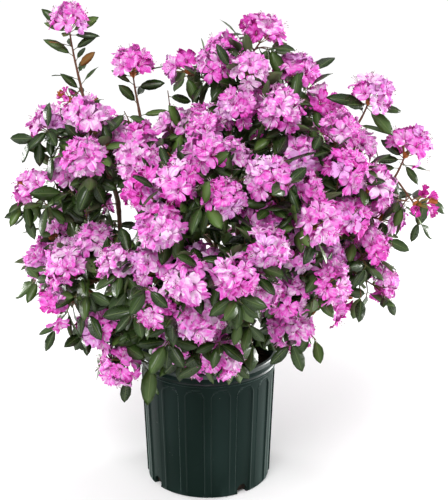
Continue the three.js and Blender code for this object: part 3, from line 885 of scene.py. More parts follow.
class Plan:
    """The whole plant: its limbs in order, and the masses at the tips of its boughs."""

    def __init__(self) -> None:
        """Grows the plan by the model's rule."""
        self.limbs = {"trunk": self._trunk()}
        for row in ROWS:
            self.limbs[row.name] = self._bough(row)
        streams = [Stream(Stream.SEED_STEP * (index + 1)) for index in range(len(ROWS))]
        self.masses = [Mass(row, self.limbs[row.name], stream) for row, stream in zip(ROWS, streams)]
        for mass in self.masses:
            mass.plan_trusses()
        self._relax()
        for mass in self.masses:
            mass.plan_twigs()
        self._clear_spaces()

    def _trunk(self) -> Limb:
        """Plans the trunk.

        Returns:
            The trunk.
        """
        foot = np.array([0, 0, POT.soil_top + GAP])
        middle = np.array([0, 0, POT.soil_top + TRUNK.height / 2])
        top = np.array([TRUNK.lean, -TRUNK.lean / 2, POT.soil_top + TRUNK.height])
        return Limb("trunk", Curve(foot, middle, top), TRUNK.radius)

    def _bough(self, row: Row) -> Limb:
        """Plans the bough of a mass, from its parent to its tip.

        Args:
            row: The mass.

        Returns:
            The bough.
        """
        parent = self.limbs[row.parent]
        bloom = row.bloom()
        outward = unit(unit(bloom - HEART) + UP * row.lift)
        tip = bloom - outward * row.spread
        start = parent.curve.at(row.at)
        if parent.name == "trunk":
            leaving = unit(unit((tip - start) * [1, 1, 0]) + UP * BOUGH.rise)
            base_radius = BOUGH.trunk_radius
        else:
            leaving = parent.curve.tangent(row.at)
            base_radius = BOUGH.fork_radius
        pull = BOUGH.pull * np.linalg.norm(tip - start)
        curve = Curve(start, start + leaving * pull, tip - outward * pull, tip)
        return Limb(row.name, curve, lambda share: lerp(base_radius, BOUGH.tip_radius, share), outward)

    def _relax(self) -> None:
        """Moves trusses apart where they crowd each other, and away from the limbs and the pot."""
        crowd = [(mass, truss) for mass in self.masses for truss in mass.trusses]
        limbs = []
        for limb in self.limbs.values():
            run = limb.curve.along(8)
            middle = (run[0] + run[-1]) / 2
            limbs.append((run, limb.radius(LIMB_MIDDLE), middle, np.linalg.norm(run - middle, axis=1).max()))
        for _ in range(CROWDING.rounds):
            for i, (mass, truss) in enumerate(crowd):
                for other_mass, other in crowd[i + 1 :]:
                    share = CROWDING.within if mass is other_mass else CROWDING.between
                    truss.part_from(other, share * (truss.radius + other.radius))
                for run, radius, middle, reach in limbs:
                    wanted = truss.radius + radius + CROWDING.limb
                    if math.dist(middle, truss.centre) <= reach + wanted:
                        truss.push_off(run, wanted)
                if math.hypot(*truss.centre[:2]) < POT.rim_radius + truss.radius:
                    lowest = POT.height + CROWDING.rim + TRUSS.flatness * truss.radius
                    truss.centre[2] = max(truss.centre[2], lowest)

    def to_limbs(self, points: Array) -> Array:
        """Returns how far points are from the limbs."""
        runs = [(limb.curve.along(10), limb.radius(LIMB_MIDDLE)) for limb in self.limbs.values()]
        return np.min([distance_to_run(points, run) - radius for run, radius in runs], axis=0)

    def _to_others(self, mass: Mass, points: Array) -> Array:
        """Returns how far points are from the other masses."""
        return np.min([other.distance(points) for other in self.masses if other is not mass], axis=0)

    @staticmethod
    def off_pot(points: Array) -> Array:
        """Returns which points are over the pot's rim, or outside it and not too low."""
        outside = np.hypot(points[:, 0], points[:, 1]) > POT.rim_radius + SPACE.pot
        return (outside & (points[:, 2] > SPACE.lowest)) | (points[:, 2] > POT.height + SPACE.pot)

    def _twig_is_clear(self, mass: Mass, twig: Twig) -> bool:
        """Tells whether a twig stays in its mass's own space.

        Args:
            mass: The mass.
            twig: The twig.

        Returns:
            Whether it does.
        """
        points = twig.curve.along(6)[1:]
        clear = (self._to_others(mass, points) > SPACE.twig) & (self.to_limbs(points) > SPACE.twig)
        return bool((clear & self.off_pot(points)).all())

    def _clear_spaces(self) -> None:
        """Keeps only the trusses, twigs and leaves that stay in their mass's own space."""
        for mass in self.masses:
            mass.set_runs()
        for mass in self.masses:
            mass.twigs = [
                twig
                for twig in mass.twigs
                if self.to_limbs(twig.truss.centre[None])[0] > twig.truss.radius + SPACE.limb / 2
                and self._twig_is_clear(mass, twig)
            ]
            mass.trusses = [twig.truss for twig in mass.stems()]
            mass.shoots = [shoot for shoot in mass.shoots if self._twig_is_clear(mass, shoot)]
            mass.set_runs()
        for mass in self.masses:
            for twig in mass.all_twigs():
                twig.leaves = self._clear_leaves(mass, twig.leaves)

    def _clear_leaves(self, mass: Mass, leaves: list[Leaf]) -> list[Leaf]:
        """Picks the leaves that show and stay clear of limbs, pot and other masses.

        Args:
            mass: The leaves' mass.
            leaves: The leaves of one of its twigs.

        Returns:
            The leaves that are kept.
        """
        leaves = [leaf for leaf in leaves if mass.shows(leaf)]
        if not leaves:
            return []
        points = np.concatenate([leaf.test_points() for leaf in leaves])
        own = self._to_others(mass, points) - mass.distance(points) > SPACE.leaf
        clear = own & (self.to_limbs(points) > SPACE.limb) & self.off_pot(points)
        return [leaf for leaf, ok in zip(leaves, clear.reshape(len(leaves), -1).all(1)) if ok]


@dataclass
class SprigGrower:
    """Grows the finer, flowerless twigs round trusses and along boughs, and the listed sprigs and side trusses.
    """

    plan: Plan
    whorl: Whorl = field(default_factory=Whorl)
    core: float = 0.72
    low_height: float = 520
    droop_run: float = 180
    droops: Pair = (0.12, 0.7)
    tip_leaf: float = 0.76
    stalk: float = 7
    bare: float = 0.08
    seed: int = 701

    def __post_init__(self) -> None:
        """Notes the balls that leaves stay out of."""
        trusses = [truss for mass in self.plan.masses for truss in mass.trusses]
        self.centres = np.array([truss.centre for truss in trusses])
        self.radii = np.array([truss.radius for truss in trusses])

    def grow(self, mass: Mass) -> None:
        """Adds a mass's sprigs and its side truss, and opens its leaves where sky shows.

        Args:
            mass: The mass.
        """
        name = mass.row.name
        rng = np.random.default_rng(self.seed + ROWS.index(mass.row))
        if name in RUNGS:
            mass.leader.leaves = []
        for twig in mass.all_twigs():
            twig.leaves = [leaf for leaf in twig.leaves if has_room(leaf.test_points())]
        twigs = mass.twigs if name in RUNGS else mass.stems()
        bough = Twig(mass.bough.curve)
        stems = [*((twig, TRUSS_SPRIGS, self.bare) for twig in twigs), (bough, BOUGH_SPRIGS, mass.row.bare)]
        for stem, rule, bare in stems:
            length = stem.curve.length()
            turn = rng.uniform(0, FULL_TURN)
            for k, drop in enumerate(rule.drops):
                share = 1 - drop / length
                if share > bare:
                    start, axis = stem.place(share), stem.curve.tangent(share)
                    self._add(mass, rule, start, axis, turn + k * rule.turn, rng)
        for rung in RUNGS.get(name, ()):
            self._rung(mass, rung)
        for aim in AIMS.get(name, ()):
            self._aim(mass, aim, rng)
        if name in SIDE_TRUSSES:
            self._side_truss(mass, SIDE_TRUSSES[name])

    @staticmethod
    def _nearest_start(mass: Mass, place: Array) -> Array:
        """Finds where a twig to a given place starts.

        Args:
            mass: The mass that the twig belongs to.
            place: The place that it reaches out to.

        Returns:
            The nearest point on the mass's bough and stems.
        """
        starts = [mass.bough.curve.at(share) for share in np.linspace(0.4, 1, 7)]
        starts += [twig.place(share) for twig in mass.stems() for share in np.linspace(0.1, 0.85, 6)]
        return min(starts, key=lambda point: math.dist(point, place))

    def _side_truss(self, mass: Mass, side: SideTruss) -> None:
        """Adds a side truss and its twig to a mass.

        Args:
            mass: The mass.
            side: Where the truss is.
        """
        middle = np.array(side.middle, float)
        start = self._nearest_start(mass, middle)
        truss = Truss(middle, side.radius, 0, unit(unit(middle - start) + UP))
        sag = UP * 0.1 * math.dist(start, middle)
        mass.sprigs.append(Twig(Curve(start, (start + middle) / 2 - sag, truss.seat())))
        mass.trusses.append(truss)

    def _rung(self, mass: Mass, rung: Rung) -> None:
        """Adds a single leaf to the stem of a tall shoot.

        Args:
            mass: The mass of the shoot.
            rung: The leaf.
        """
        stem = [*mass.leader.place(np.linspace(0, 0.98, 40)), *mass.bough.curve.at(np.linspace(0.3, 1, 40))]
        start = min(stem, key=lambda point: abs(point[2] - rung.height))
        way = unit(np.array(rung.run, float))
        look = np.array([0, -0.15, 1] if rung.edge else [0.1 * np.sign(way[0]), -0.8, 0.6])
        sprig = Twig(Curve(start, start + way * 3), tone=LeafTone.BRONZE if rung.rust else None)
        length = (math.hypot(*rung.run) - self.stalk) / self.tip_leaf
        sprig.leaves = [Leaf(1, sprig.place(1), way, squared(look, way), length, rung.width)]
        mass.sprigs.append(sprig)

    def _aim(self, mass: Mass, aim: Aim, rng: Chance) -> None:
        """Adds a sprig from the nearest limb or twig of a mass to a given place.

        Args:
            mass: The mass.
            aim: The place, and how the sprig looks.
            rng: The source of chance.
        """
        tip = np.array(aim.tip, float)
        start = self._nearest_start(mass, tip)
        middle = (start + tip) / 2 + UP * 0.14 * math.dist(start, tip)
        sprig = Twig(Curve(start, middle, tip), tone=LeafTone.GREEN if aim.green else None)
        self._add_whorl(sprig, aim.leaves, aim.droop, rng)
        for leaf in sprig.leaves:
            leaf.length *= aim.size
            leaf.face = squared(np.array(aim.facing) + rng.normal(0, 0.22, 3), leaf.way)
        if sprig.leaves:
            mass.sprigs.append(sprig)

    def _add(
        self, mass: Mass, rule: SprigRule, start: Array, axis: Array, turn: float, rng: Chance
    ) -> None:
        """Adds a sprig with the leaves that stay clear, or none if fewer than two do.

        Args:
            mass: The mass.
            rule: The angles and lengths of such sprigs.
            start: Where the sprig starts.
            axis: The way of the twig or bough that it starts from.
            turn: Its turn round that twig or bough.
            rng: The source of chance.
        """
        angle = math.radians(rng.uniform(*rule.angles))
        way = aside(axis, angle, turn + rng.normal(0, 0.25))
        reach = rng.uniform(*rule.lengths)
        end = start + way * reach + UP * 0.12 * reach
        sprig = Twig(Curve(start, start + axis * 0.2 * reach + way * 0.4 * reach, end))
        droop = lerp(*self.droops, float(np.clip((self.low_height - end[2]) / self.droop_run, 0, 1)))
        self._add_whorl(sprig, self.whorl.leaves, droop, rng)
        if len(sprig.leaves) > 1 and not in_opening(sprig.place(np.array([0.5, 1]))).any():
            mass.sprigs.append(sprig)

    def _add_whorl(self, sprig: Twig, leaves: int, droop: float, rng: Chance) -> None:
        """Adds the leaves round the tip of a sprig that stay clear.

        Args:
            sprig: The sprig.
            leaves: How many leaves it would have.
            droop: How much they hang.
            rng: The source of chance.
        """
        whorl = self.whorl
        heading = sprig.curve.tangent(1)
        spin = rng.uniform(0, FULL_TURN)
        for k in range(leaves):
            share = 1 - whorl.pitch * k
            tilt = lerp(whorl.start_angle, whorl.end_angle, k / max(1, leaves - 1))
            tilt += rng.normal(0, whorl.sway)
            way = aside(heading, math.radians(tilt), spin + k * GOLDEN_TURN)
            way = unit(way - UP * droop)
            out = unit(sprig.curve.at(share) - HEART)
            face = unit(heading * 0.7 / (1 + droop) + out * 0.5 * (1 + droop) + UP * 0.5)
            length = LEAF.length * rng.uniform(*whorl.sizes)
            sprig.leaves.append(Leaf(share, sprig.place(share), way, squared(face, way), length))
        sprig.leaves = self._clear(sprig.leaves)

    def _clear(self, leaves: list[Leaf]) -> list[Leaf]:
        """Picks the leaves that stay out of the trusses, the limbs, the pot and the gaps.

        Args:
            leaves: The leaves of one sprig.

        Returns:
            The leaves that are kept.
        """
        points = np.stack([leaf.test_points() for leaf in leaves])
        away = np.linalg.norm(points[:, 1:, None] - self.centres, axis=-1) / self.radii
        flat = points.reshape(-1, 3)
        free = (self.plan.to_limbs(flat) > 1) & self.plan.off_pot(flat)
        keep = (away.min((1, 2)) > self.core) & free.reshape(len(leaves), -1)[:, 1:].all(1)
        keep &= [has_room(leaf_points) for leaf_points in points]
        return [leaf for leaf, ok in zip(leaves, keep) if ok]


# Shader nodes and finishes.


class Socket:
    """A shader socket that takes part in Python arithmetic, which adds Math nodes."""

    def __init__(self, shader: Shader, output: bpy.types.NodeSocket) -> None:
        """Wraps a node's output."""
        self.shader = shader
        self.output = output

    def _math(self, operation: str, first: Socket | float, second: Socket | float) -> Socket:
        """Returns the output of a Math node."""
        return self.shader.node("ShaderNodeMath", {"operation": operation}, {0: first, 1: second})

    def __add__(self, other: Socket | float) -> Socket:
        """Returns the sum."""
        return self._math("ADD", self, other)

    def __sub__(self, other: Socket | float) -> Socket:
        """Returns the difference."""
        return self._math("SUBTRACT", self, other)

    def __rsub__(self, other: float) -> Socket:
        """Returns the difference from a number."""
        return self._math("SUBTRACT", other, self)

    def __mul__(self, other: Socket | float) -> Socket:
        """Returns the product."""
        return self._math("MULTIPLY", self, other)

    __radd__ = __add__
    __rmul__ = __mul__

    def ramped(self, low: float, high: float) -> Socket:
        """Returns 0 below low, 1 above high and a smooth step between them."""
        inputs = {"Value": self, "From Min": low, "From Max": high}
        return self.shader.node("ShaderNodeMapRange", {"interpolation_type": "SMOOTHSTEP"}, inputs)


class Shader:
    """A material's nodes round one Principled shader."""

    def __init__(self, name: str) -> None:
        """Makes an empty material.

        Args:
            name: The material's name.
        """
        self.material = bpy.data.materials.new(name)
        self.material.use_nodes = True
        self.tree = self.material.node_tree
        self.surface = self.tree.nodes["Principled BSDF"]

    def node(
        self,
        kind: str,
        settings: dict[str, object],
        inputs: dict[int | str, object],
        output: int | str = 0,
    ) -> Socket:
        """Adds a node.

        Args:
            kind: The node's type.
            settings: Its own settings, which are set first.
            inputs: The value or the link of each input that isn't left alone.
            output: The output to go on with.

        Returns:
            That output.
        """
        made = self.tree.nodes.new(kind)
        for name, value in settings.items():
            setattr(made, name, value)
        for name, value in inputs.items():
            self.feed(made.inputs[name], value)
        return Socket(self, made.outputs[output])

    def feed(self, target: bpy.types.NodeSocket, value: object) -> None:
        """Links or sets an input.

        Args:
            target: The input.
            value: A socket to link, or a number, vector or colour.
        """
        if isinstance(value, Socket):
            self.tree.links.new(value.output, target)
        elif isinstance(value, tuple) and target.type == "RGBA":
            target.default_value = (*value, 1)
        else:
            target.default_value = value

    def set(self, **inputs: object) -> None:
        """Sets inputs of the Principled shader, with _ for a space in a name."""
        for name, value in inputs.items():
            self.feed(self.surface.inputs[name.replace("_", " ")], value)

    def place(self, stretch: Place = (1, 1, 1)) -> Socket:
        """Returns the place in metres, stretched along its axes."""
        spot = self.node("ShaderNodeTexCoord", {}, {}, "Object")
        return self.node("ShaderNodeMapping", {}, {"Vector": spot, "Scale": stretch})

    def noise(self, spot: Socket, scale: float, detail: float = 3, roughness: float = 0.5) -> Socket:
        """Returns a noise from 0 to 1 with about scale blobs to a metre."""
        inputs = {"Vector": spot, "Scale": scale, "Detail": detail, "Roughness": roughness}
        return self.node("ShaderNodeTexNoise", {}, inputs)

    def mix(self, factor: Socket, first: Colour | Socket, second: Colour | Socket) -> Socket:
        """Returns a mix of two colours."""
        return self.node("ShaderNodeMix", {"data_type": "RGBA"}, {0: factor, 6: first, 7: second}, 2)

    def bump(self, height: Socket, strength: float, distance: float) -> None:
        """Feeds a height to the shader's normal."""
        inputs = {"Height": height, "Strength": strength, "Distance": distance}
        self.set(Normal=self.node("ShaderNodeBump", {}, inputs))


@dataclass(frozen=True)
class Finish:
    """What a surface is dressed in."""

    name: str

    def dress(self, shader: Shader) -> None:
        """Sets a new material's nodes, in each finish its own way."""
        raise NotImplementedError

    def material(self) -> bpy.types.Material:
        """Returns the material, which is made the first time."""
        if self.name not in bpy.data.materials:
            self.dress(Shader(self.name))
        return bpy.data.materials[self.name]


@dataclass(frozen=True)
class LivingFinish(Finish):
    """A petal, leaf or stalk: a plain colour whose gloss and grain vary over the surface."""

    colour: Colour
    roughness: float = 0.55
    gloss: float = 0.3
    grain: float = 450
    relief: float = 0.0004

    def dress(self, shader: Shader) -> None:
        """Sets the nodes.

        Args:
            shader: The new material.
        """
        grain = shader.noise(shader.place(), self.grain, 2)
        roughness = self.roughness + (grain - 0.5) * 0.3
        shader.set(Base_Color=self.colour, Roughness=roughness, Specular_IOR_Level=self.gloss)
        shader.bump(grain, 0.5, self.relief)


@dataclass(frozen=True)
class BarkFinish(Finish):
    """Thin bark on young wood: reddish brown with grey scales and darker cracks along the stem."""

    name: str = "bark"
    light: Colour = (0.30, 0.20, 0.13)
    red: Colour = (0.17, 0.075, 0.042)
    dark: Colour = (0.055, 0.032, 0.022)

    def dress(self, shader: Shader) -> None:
        """Sets the nodes.

        Args:
            shader: The new material.
        """
        spot = shader.place((1, 1, 0.3))
        scales = shader.noise(spot, 160, 4)
        cracks = shader.noise(spot, 620, 3)
        colour = shader.mix(scales.ramped(0.42, 0.66), self.red, self.light)
        colour = shader.mix(cracks.ramped(0.5, 0.68), colour, self.dark)
        shader.set(Base_Color=colour, Roughness=0.72 + scales * 0.2, Specular_IOR_Level=0.3)
        shader.bump(cracks, 0.6, 0.0008)


@dataclass(frozen=True)
class PotFinish(Finish):
    """Dark green moulded plastic, satin: faint dust, painted sheen streaks, a dull bloom, a paler scuffed heel.
    """

    name: str = "pot_plastic"
    green: Colour = (0.0042, 0.0122, 0.0095)
    # A paler green laid in broad upright streaks, a painted sheen that stands in for reflections.
    film: Colour = (0.0110, 0.0235, 0.0205)
    dusty: Colour = (0.015, 0.029, 0.026)
    speck: Colour = (0.30, 0.30, 0.27)
    gloss: float = 0.05
    bloom: float = 0.27
    bloom_tint: Colour = (0.72, 1, 0.9)
    heel: float = 0.035

    def dress(self, shader: Shader) -> None:
        """Sets the nodes.

        Args:
            shader: The new material.
        """
        spot = shader.place()
        height = shader.node("ShaderNodeSeparateXYZ", {}, {"Vector": spot}, 2)
        smears = shader.noise(shader.place((1, 1, 0.45)), 26, 4, 0.6)
        heel = (1 - height.ramped(0.0, self.heel)) * smears.ramped(0.45, 0.62)
        dust = smears.ramped(0.5, 0.8) * 0.3 + heel * 0.7
        specks = shader.noise(spot, 330, 1).ramped(0.8, 0.83)
        # Painted sheen: broad noise stretched upright mixes in a paler green in place of reflections.
        film = shader.noise(shader.place((1, 1, 0.3)), 13, 1).ramped(0.4, 0.66)
        colour = shader.mix(dust, shader.mix(film * 0.8, self.green, self.film), self.dusty)
        colour = shader.mix(specks * 0.7, colour, self.speck)
        shader.set(Base_Color=colour, Roughness=0.3 + smears * 0.14, Specular_IOR_Level=self.gloss)
        shader.set(Sheen_Weight=self.bloom, Sheen_Roughness=0.3, Sheen_Tint=self.bloom_tint)
        shader.bump(shader.noise(spot, 1500, 2), 0.12, 0.0003)


@dataclass(frozen=True)
class SoilFinish(Finish):
    """Bark-based potting mix: dark crumbs with browner chips."""

    name: str = "potting_mix"
    dark: Colour = (0.012, 0.009, 0.007)
    brown: Colour = (0.055, 0.036, 0.022)

    def dress(self, shader: Shader) -> None:
        """Sets the nodes.

        Args:
            shader: The new material.
        """
        crumbs = shader.noise(shader.place(), 240, 5, 0.65)
        colour = shader.mix(crumbs.ramped(0.42, 0.64), self.dark, self.brown)
        shader.set(Base_Color=colour, Roughness=0.95, Specular_IOR_Level=0.2)
        shader.bump(crumbs, 0.8, 0.002)


@dataclass(frozen=True)
class FloorFinish(Finish):
    """A plain pale floor."""

    name: str = "floor_paper"
    colour: Colour = (0.93, 0.93, 0.93)

    def dress(self, shader: Shader) -> None:
        """Sets the nodes."""
        shader.set(Base_Color=self.colour, Roughness=0.9, Specular_IOR_Level=0.1)


class PetalTone(IntEnum):
    """The blossom's plain colours: six from the palest lit petal to the deepest fold, and two cooler ones."""

    BLUSH = 0
    PALE = 1
    PINK = 2
    ORCHID = 3
    MAGENTA = 4
    CRIMSON = 5
    LILAC = 6
    VIOLET = 7


PETAL_COLOURS = {
    PetalTone.BLUSH: (0.92, 0.66, 0.88),
    PetalTone.PALE: (0.82, 0.40, 0.755),
    PetalTone.PINK: (0.81, 0.245, 0.69),
    PetalTone.ORCHID: (0.82, 0.135, 0.63),
    PetalTone.MAGENTA: (0.69, 0.058, 0.47),
    PetalTone.CRIMSON: (0.47, 0.020, 0.26),
    PetalTone.LILAC: (0.80, 0.39, 0.79),
    PetalTone.VIOLET: (0.62, 0.18, 0.56),
}
PETAL_FINISHES = tuple(
    LivingFinish(f"petal_{tone.name.lower()}", colour, 0.6, 0.25, 330, 0.0012)
    for tone, colour in PETAL_COLOURS.items()
)


class FinePart(IntEnum):
    """The fine parts of a truss."""

    FILAMENT = 0
    ANTHER = 1
    BUD_SCALE = 2
    PEDICEL = 3


FINE_FINISHES = (
    LivingFinish("filament", (0.94, 0.70, 0.86), 0.5),
    LivingFinish("anther", (0.16, 0.06, 0.05), 0.7),
    LivingFinish("bud_scale", (0.50, 0.19, 0.045), 0.6),
    LivingFinish("pedicel", (0.30, 0.26, 0.06), 0.6),
)


class LeafTone(IntEnum):
    """The leaf greens that are dealt out by spray, the midrib, the underside and the bronze of old leaves."""

    DEEP = 0
    DARK = 1
    GREEN = 2
    FRESH = 3
    MIDRIB = 4
    UNDERSIDE = 5
    BRONZE = 6


LEAF_FINISHES = (
    LivingFinish("leaf_deep", (0.022, 0.046, 0.009), 0.3, 0.45, 300),
    LivingFinish("leaf_dark", (0.036, 0.072, 0.014), 0.32, 0.45, 300),
    LivingFinish("leaf_green", (0.056, 0.105, 0.020), 0.34, 0.45, 300),
    LivingFinish("leaf_fresh", (0.088, 0.160, 0.030), 0.36, 0.45, 300),
    LivingFinish("leaf_midrib", (0.12, 0.17, 0.055), 0.45, 0.4, 300),
    LivingFinish("leaf_underside", (0.10, 0.135, 0.055), 0.7, 0.2, 300),
    LivingFinish("leaf_bronze", (0.23, 0.10, 0.025), 0.7, 0.2, 300),
)


class TwigPart(IntEnum):
    """The parts of a leafy twig."""

    WOOD = 0
    PETIOLE = 1


TWIG_FINISHES = (
    LivingFinish("young_wood", (0.15, 0.068, 0.036), 0.7, 0.3, 600, 0.0008),
    LivingFinish("petiole", (0.13, 0.14, 0.045), 0.5, 0.4),
)


# Meshes.


def put(name: str, data: bpy.types.ID) -> bpy.types.Object:
    """Puts an object in the scene.

    Args:
        name: The object's name.
        data: Its mesh, light or camera.

    Returns:
        The object.
    """
    made = bpy.data.objects.new(name, data)
    bpy.context.scene.collection.objects.link(made)
    return made


class Surface:
    """Four-sided faces gathered from many small parts before they become one mesh."""

    def __init__(self) -> None:
        """Starts empty."""
        self.points: list[Array] = []
        self.faces: list[Array] = []
        self.slots: list[Array] = []
        self.count = 0

    def add(self, points: Array, faces: Array, slots: Array | int = 0) -> None:
        """Adds equal parts.

        Args:
            points: The points of each part in millimetres, as parts x points x 3.
            faces: The four corners of each face of one part.
            slots: The finish of each face, as parts x faces, or one for all.
        """
        parts, size = points.shape[:2]
        offsets = self.count + size * np.arange(parts)
        self.points.append(points.reshape(-1, 3))
        self.faces.append((faces[None] + offsets[:, None, None]).reshape(-1, 4))
        self.slots.append(np.broadcast_to(slots, (parts, len(faces))).reshape(-1))
        self.count += parts * size

    def piece(self, name: str, finishes: Iterable[Finish], crease: float | None = None) -> bpy.types.Object:
        """Makes the mesh and its object.

        Args:
            name: The piece's name.
            finishes: The finishes, in the order of their slots.
            crease: The angle in degrees above which an edge stays sharp, or None for none.

        Returns:
            The object, which rides on the plant's body.
        """
        faces = np.concatenate(self.faces)
        mesh = bpy.data.meshes.new(name)
        mesh.vertices.add(self.count)
        mesh.vertices.foreach_set("co", (np.concatenate(self.points) * MM).astype(np.float32).ravel())
        mesh.loops.add(faces.size)
        mesh.loops.foreach_set("vertex_index", faces.astype(np.int32).ravel())
        mesh.polygons.add(len(faces))
        mesh.polygons.foreach_set("loop_start", np.arange(0, faces.size, 4, dtype=np.int32))
        mesh.polygons.foreach_set("material_index", np.concatenate(self.slots).astype(np.int32))
        for finish in finishes:
            mesh.materials.append(finish.material())
        mesh.update(calc_edges=True)
        mesh.validate()
        mesh.shade_smooth()
        if crease is not None:
            mesh.set_sharp_from_angle(angle=math.radians(crease))
        piece = put(name, mesh)
        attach(piece, "root")
        LOG.info("%s: %d triangles", name, 2 * len(faces))
        return piece


def grid_faces(rows: int, columns: int, closed: bool = False) -> Array:
    """Lists the faces of a grid of points.

    Args:
        rows: The number of rows of points.
        columns: The number of points in a row.
        closed: Whether each row closes on itself.

    Returns:
        The four corners of each face.
    """
    row = np.arange(rows - 1)[:, None] * columns
    first = np.arange(columns if closed else columns - 1)[None]
    second = (first + 1) % columns
    corners = [row + first, row + second, row + columns + second, row + columns + first]
    return np.stack(corners, -1).reshape(-1, 4)


def cap_faces(start: int, sides: int, back: bool) -> Array:
    """Returns the faces that close a ring with an even number of points, from its first, start."""
    faces = np.array([(start, start + k, start + k + 1, start + k + 2) for k in range(1, sides - 2, 2)])
    return faces[:, ::-1] if back else faces


def tubes(lines: Array, radii: Array, sides: int) -> tuple[Array, Array]:
    """Draws round tubes along lines of equal count.

    Args:
        lines: The lines, as tubes x rings x 3.
        radii: The radius at each ring, as tubes x rings, or x rings x sides for a bark's relief.
        sides: The number of sides. An even number gets its ends closed.

    Returns:
        The points of each tube, and the faces of one.
    """
    heading = unit(np.gradient(lines, axis=1))
    overall = unit(lines[:, -1] - lines[:, 0])
    helper = np.where(np.abs(overall[:, 2:]) < STEEP, UP, ALONG_X)
    first = unit(np.cross(helper[:, None], heading))
    second = np.cross(heading, first)
    angle = FULL_TURN * np.arange(sides) / sides
    ring = turned(first[:, :, None], second[:, :, None], angle[:, None])[0]
    radii = radii[..., None] if radii.ndim == 2 else radii
    points = lines[:, :, None] + ring * radii[..., None]
    rings = lines.shape[1]
    faces = [grid_faces(rings, sides, closed=True)]
    if sides % 2 == 0:
        faces += [cap_faces(0, sides, back=True), cap_faces((rings - 1) * sides, sides, back=False)]
    return points.reshape(len(lines), -1, 3), np.concatenate(faces)


@dataclass
class Bark:
    """The trunk and the boughs, ridged along their length and swollen at their old leaf scars."""

    sides: int = 12
    step: float = 5
    ridge: float = 0.05
    node_pitch: float = 24
    node_swell: float = 0.1
    seed: int = 11

    def build(self, plan: Plan) -> None:
        """Makes one piece of all the limbs.

        Args:
            plan: The plant.
        """
        surface = Surface()
        for index, limb in enumerate(plan.limbs.values()):
            self._add_limb(surface, limb, np.random.default_rng(self.seed + index))
        piece = surface.piece("limbs", [BarkFinish()])
        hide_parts("trunk", *(f"bough_{row.name}" for row in ROWS))

    def _add_limb(self, surface: Surface, limb: Limb, rng: Chance) -> None:
        """Adds one limb.

        Args:
            surface: What it is added to.
            limb: The limb.
            rng: The source of chance.
        """
        length = limb.curve.length()
        steps = max(8, round(length / self.step))
        sides = self.sides * (2 if limb.name == "trunk" else 1)
        share = np.linspace(0, 1, steps + 1)
        angle = FULL_TURN * np.arange(sides)[None] / sides
        place = share[:, None] * length
        phases = rng.uniform(0, FULL_TURN, 4)
        relief = np.sin(3 * angle + 0.06 * place + phases[0]) + np.sin(5 * angle - 0.09 * place + phases[1])
        relief += 0.6 * np.sin(0.35 * place + 2 * angle + phases[2])
        from_node = (place + 9 * np.sin(phases[3])) % self.node_pitch - self.node_pitch / 2
        radius = np.array([limb.radius(part) for part in share])[:, None]
        radii = radius * (1 + self.ridge * relief + self.node_swell * np.exp(-(from_node**2) / 6))
        surface.add(*tubes(limb.curve.at(share)[None], radii[None], sides))


@dataclass
class Twigs:
    """The leaders, twigs, shoots and sprigs of the masses. The shares are of a root's or tip's radius."""

    rings: int = 12
    sides: int = 6
    fine_rings: int = 6
    fine_sides: int = 5
    root_radius: float = 2.5
    tip_radius: float = 1.35
    leader_share: float = 1.16
    fork_share: float = 0.72
    fine_share: float = 0.5
    fine_tip_share: float = 0.6
    knots: float = 0.07

    def add_to(self, surface: Surface, mass: Mass) -> None:
        """Adds one mass's twigs, each slimmer at its tip.

        Args:
            surface: What they are added to.
            mass: The mass.
        """
        for twig in (*mass.all_twigs(), *mass.sprigs):
            fine = twig.truss is None
            share = np.linspace(0, 1, self.fine_rings if fine else self.rings)
            root_share = self.fine_share if twig.root is None else self.fork_share
            root = self.root_radius * (self.leader_share if twig is mass.leader else root_share)
            tip = self.tip_radius * (self.fine_tip_share if fine else 1)
            radii = root + (tip - root) * share
            radii *= 1 + self.knots * np.sin(23 * share + twig.curve.points[0][0])
            sides = self.fine_sides if fine else self.sides
            surface.add(*tubes(twig.place(share)[None], radii[None], sides), TwigPart.WOOD)


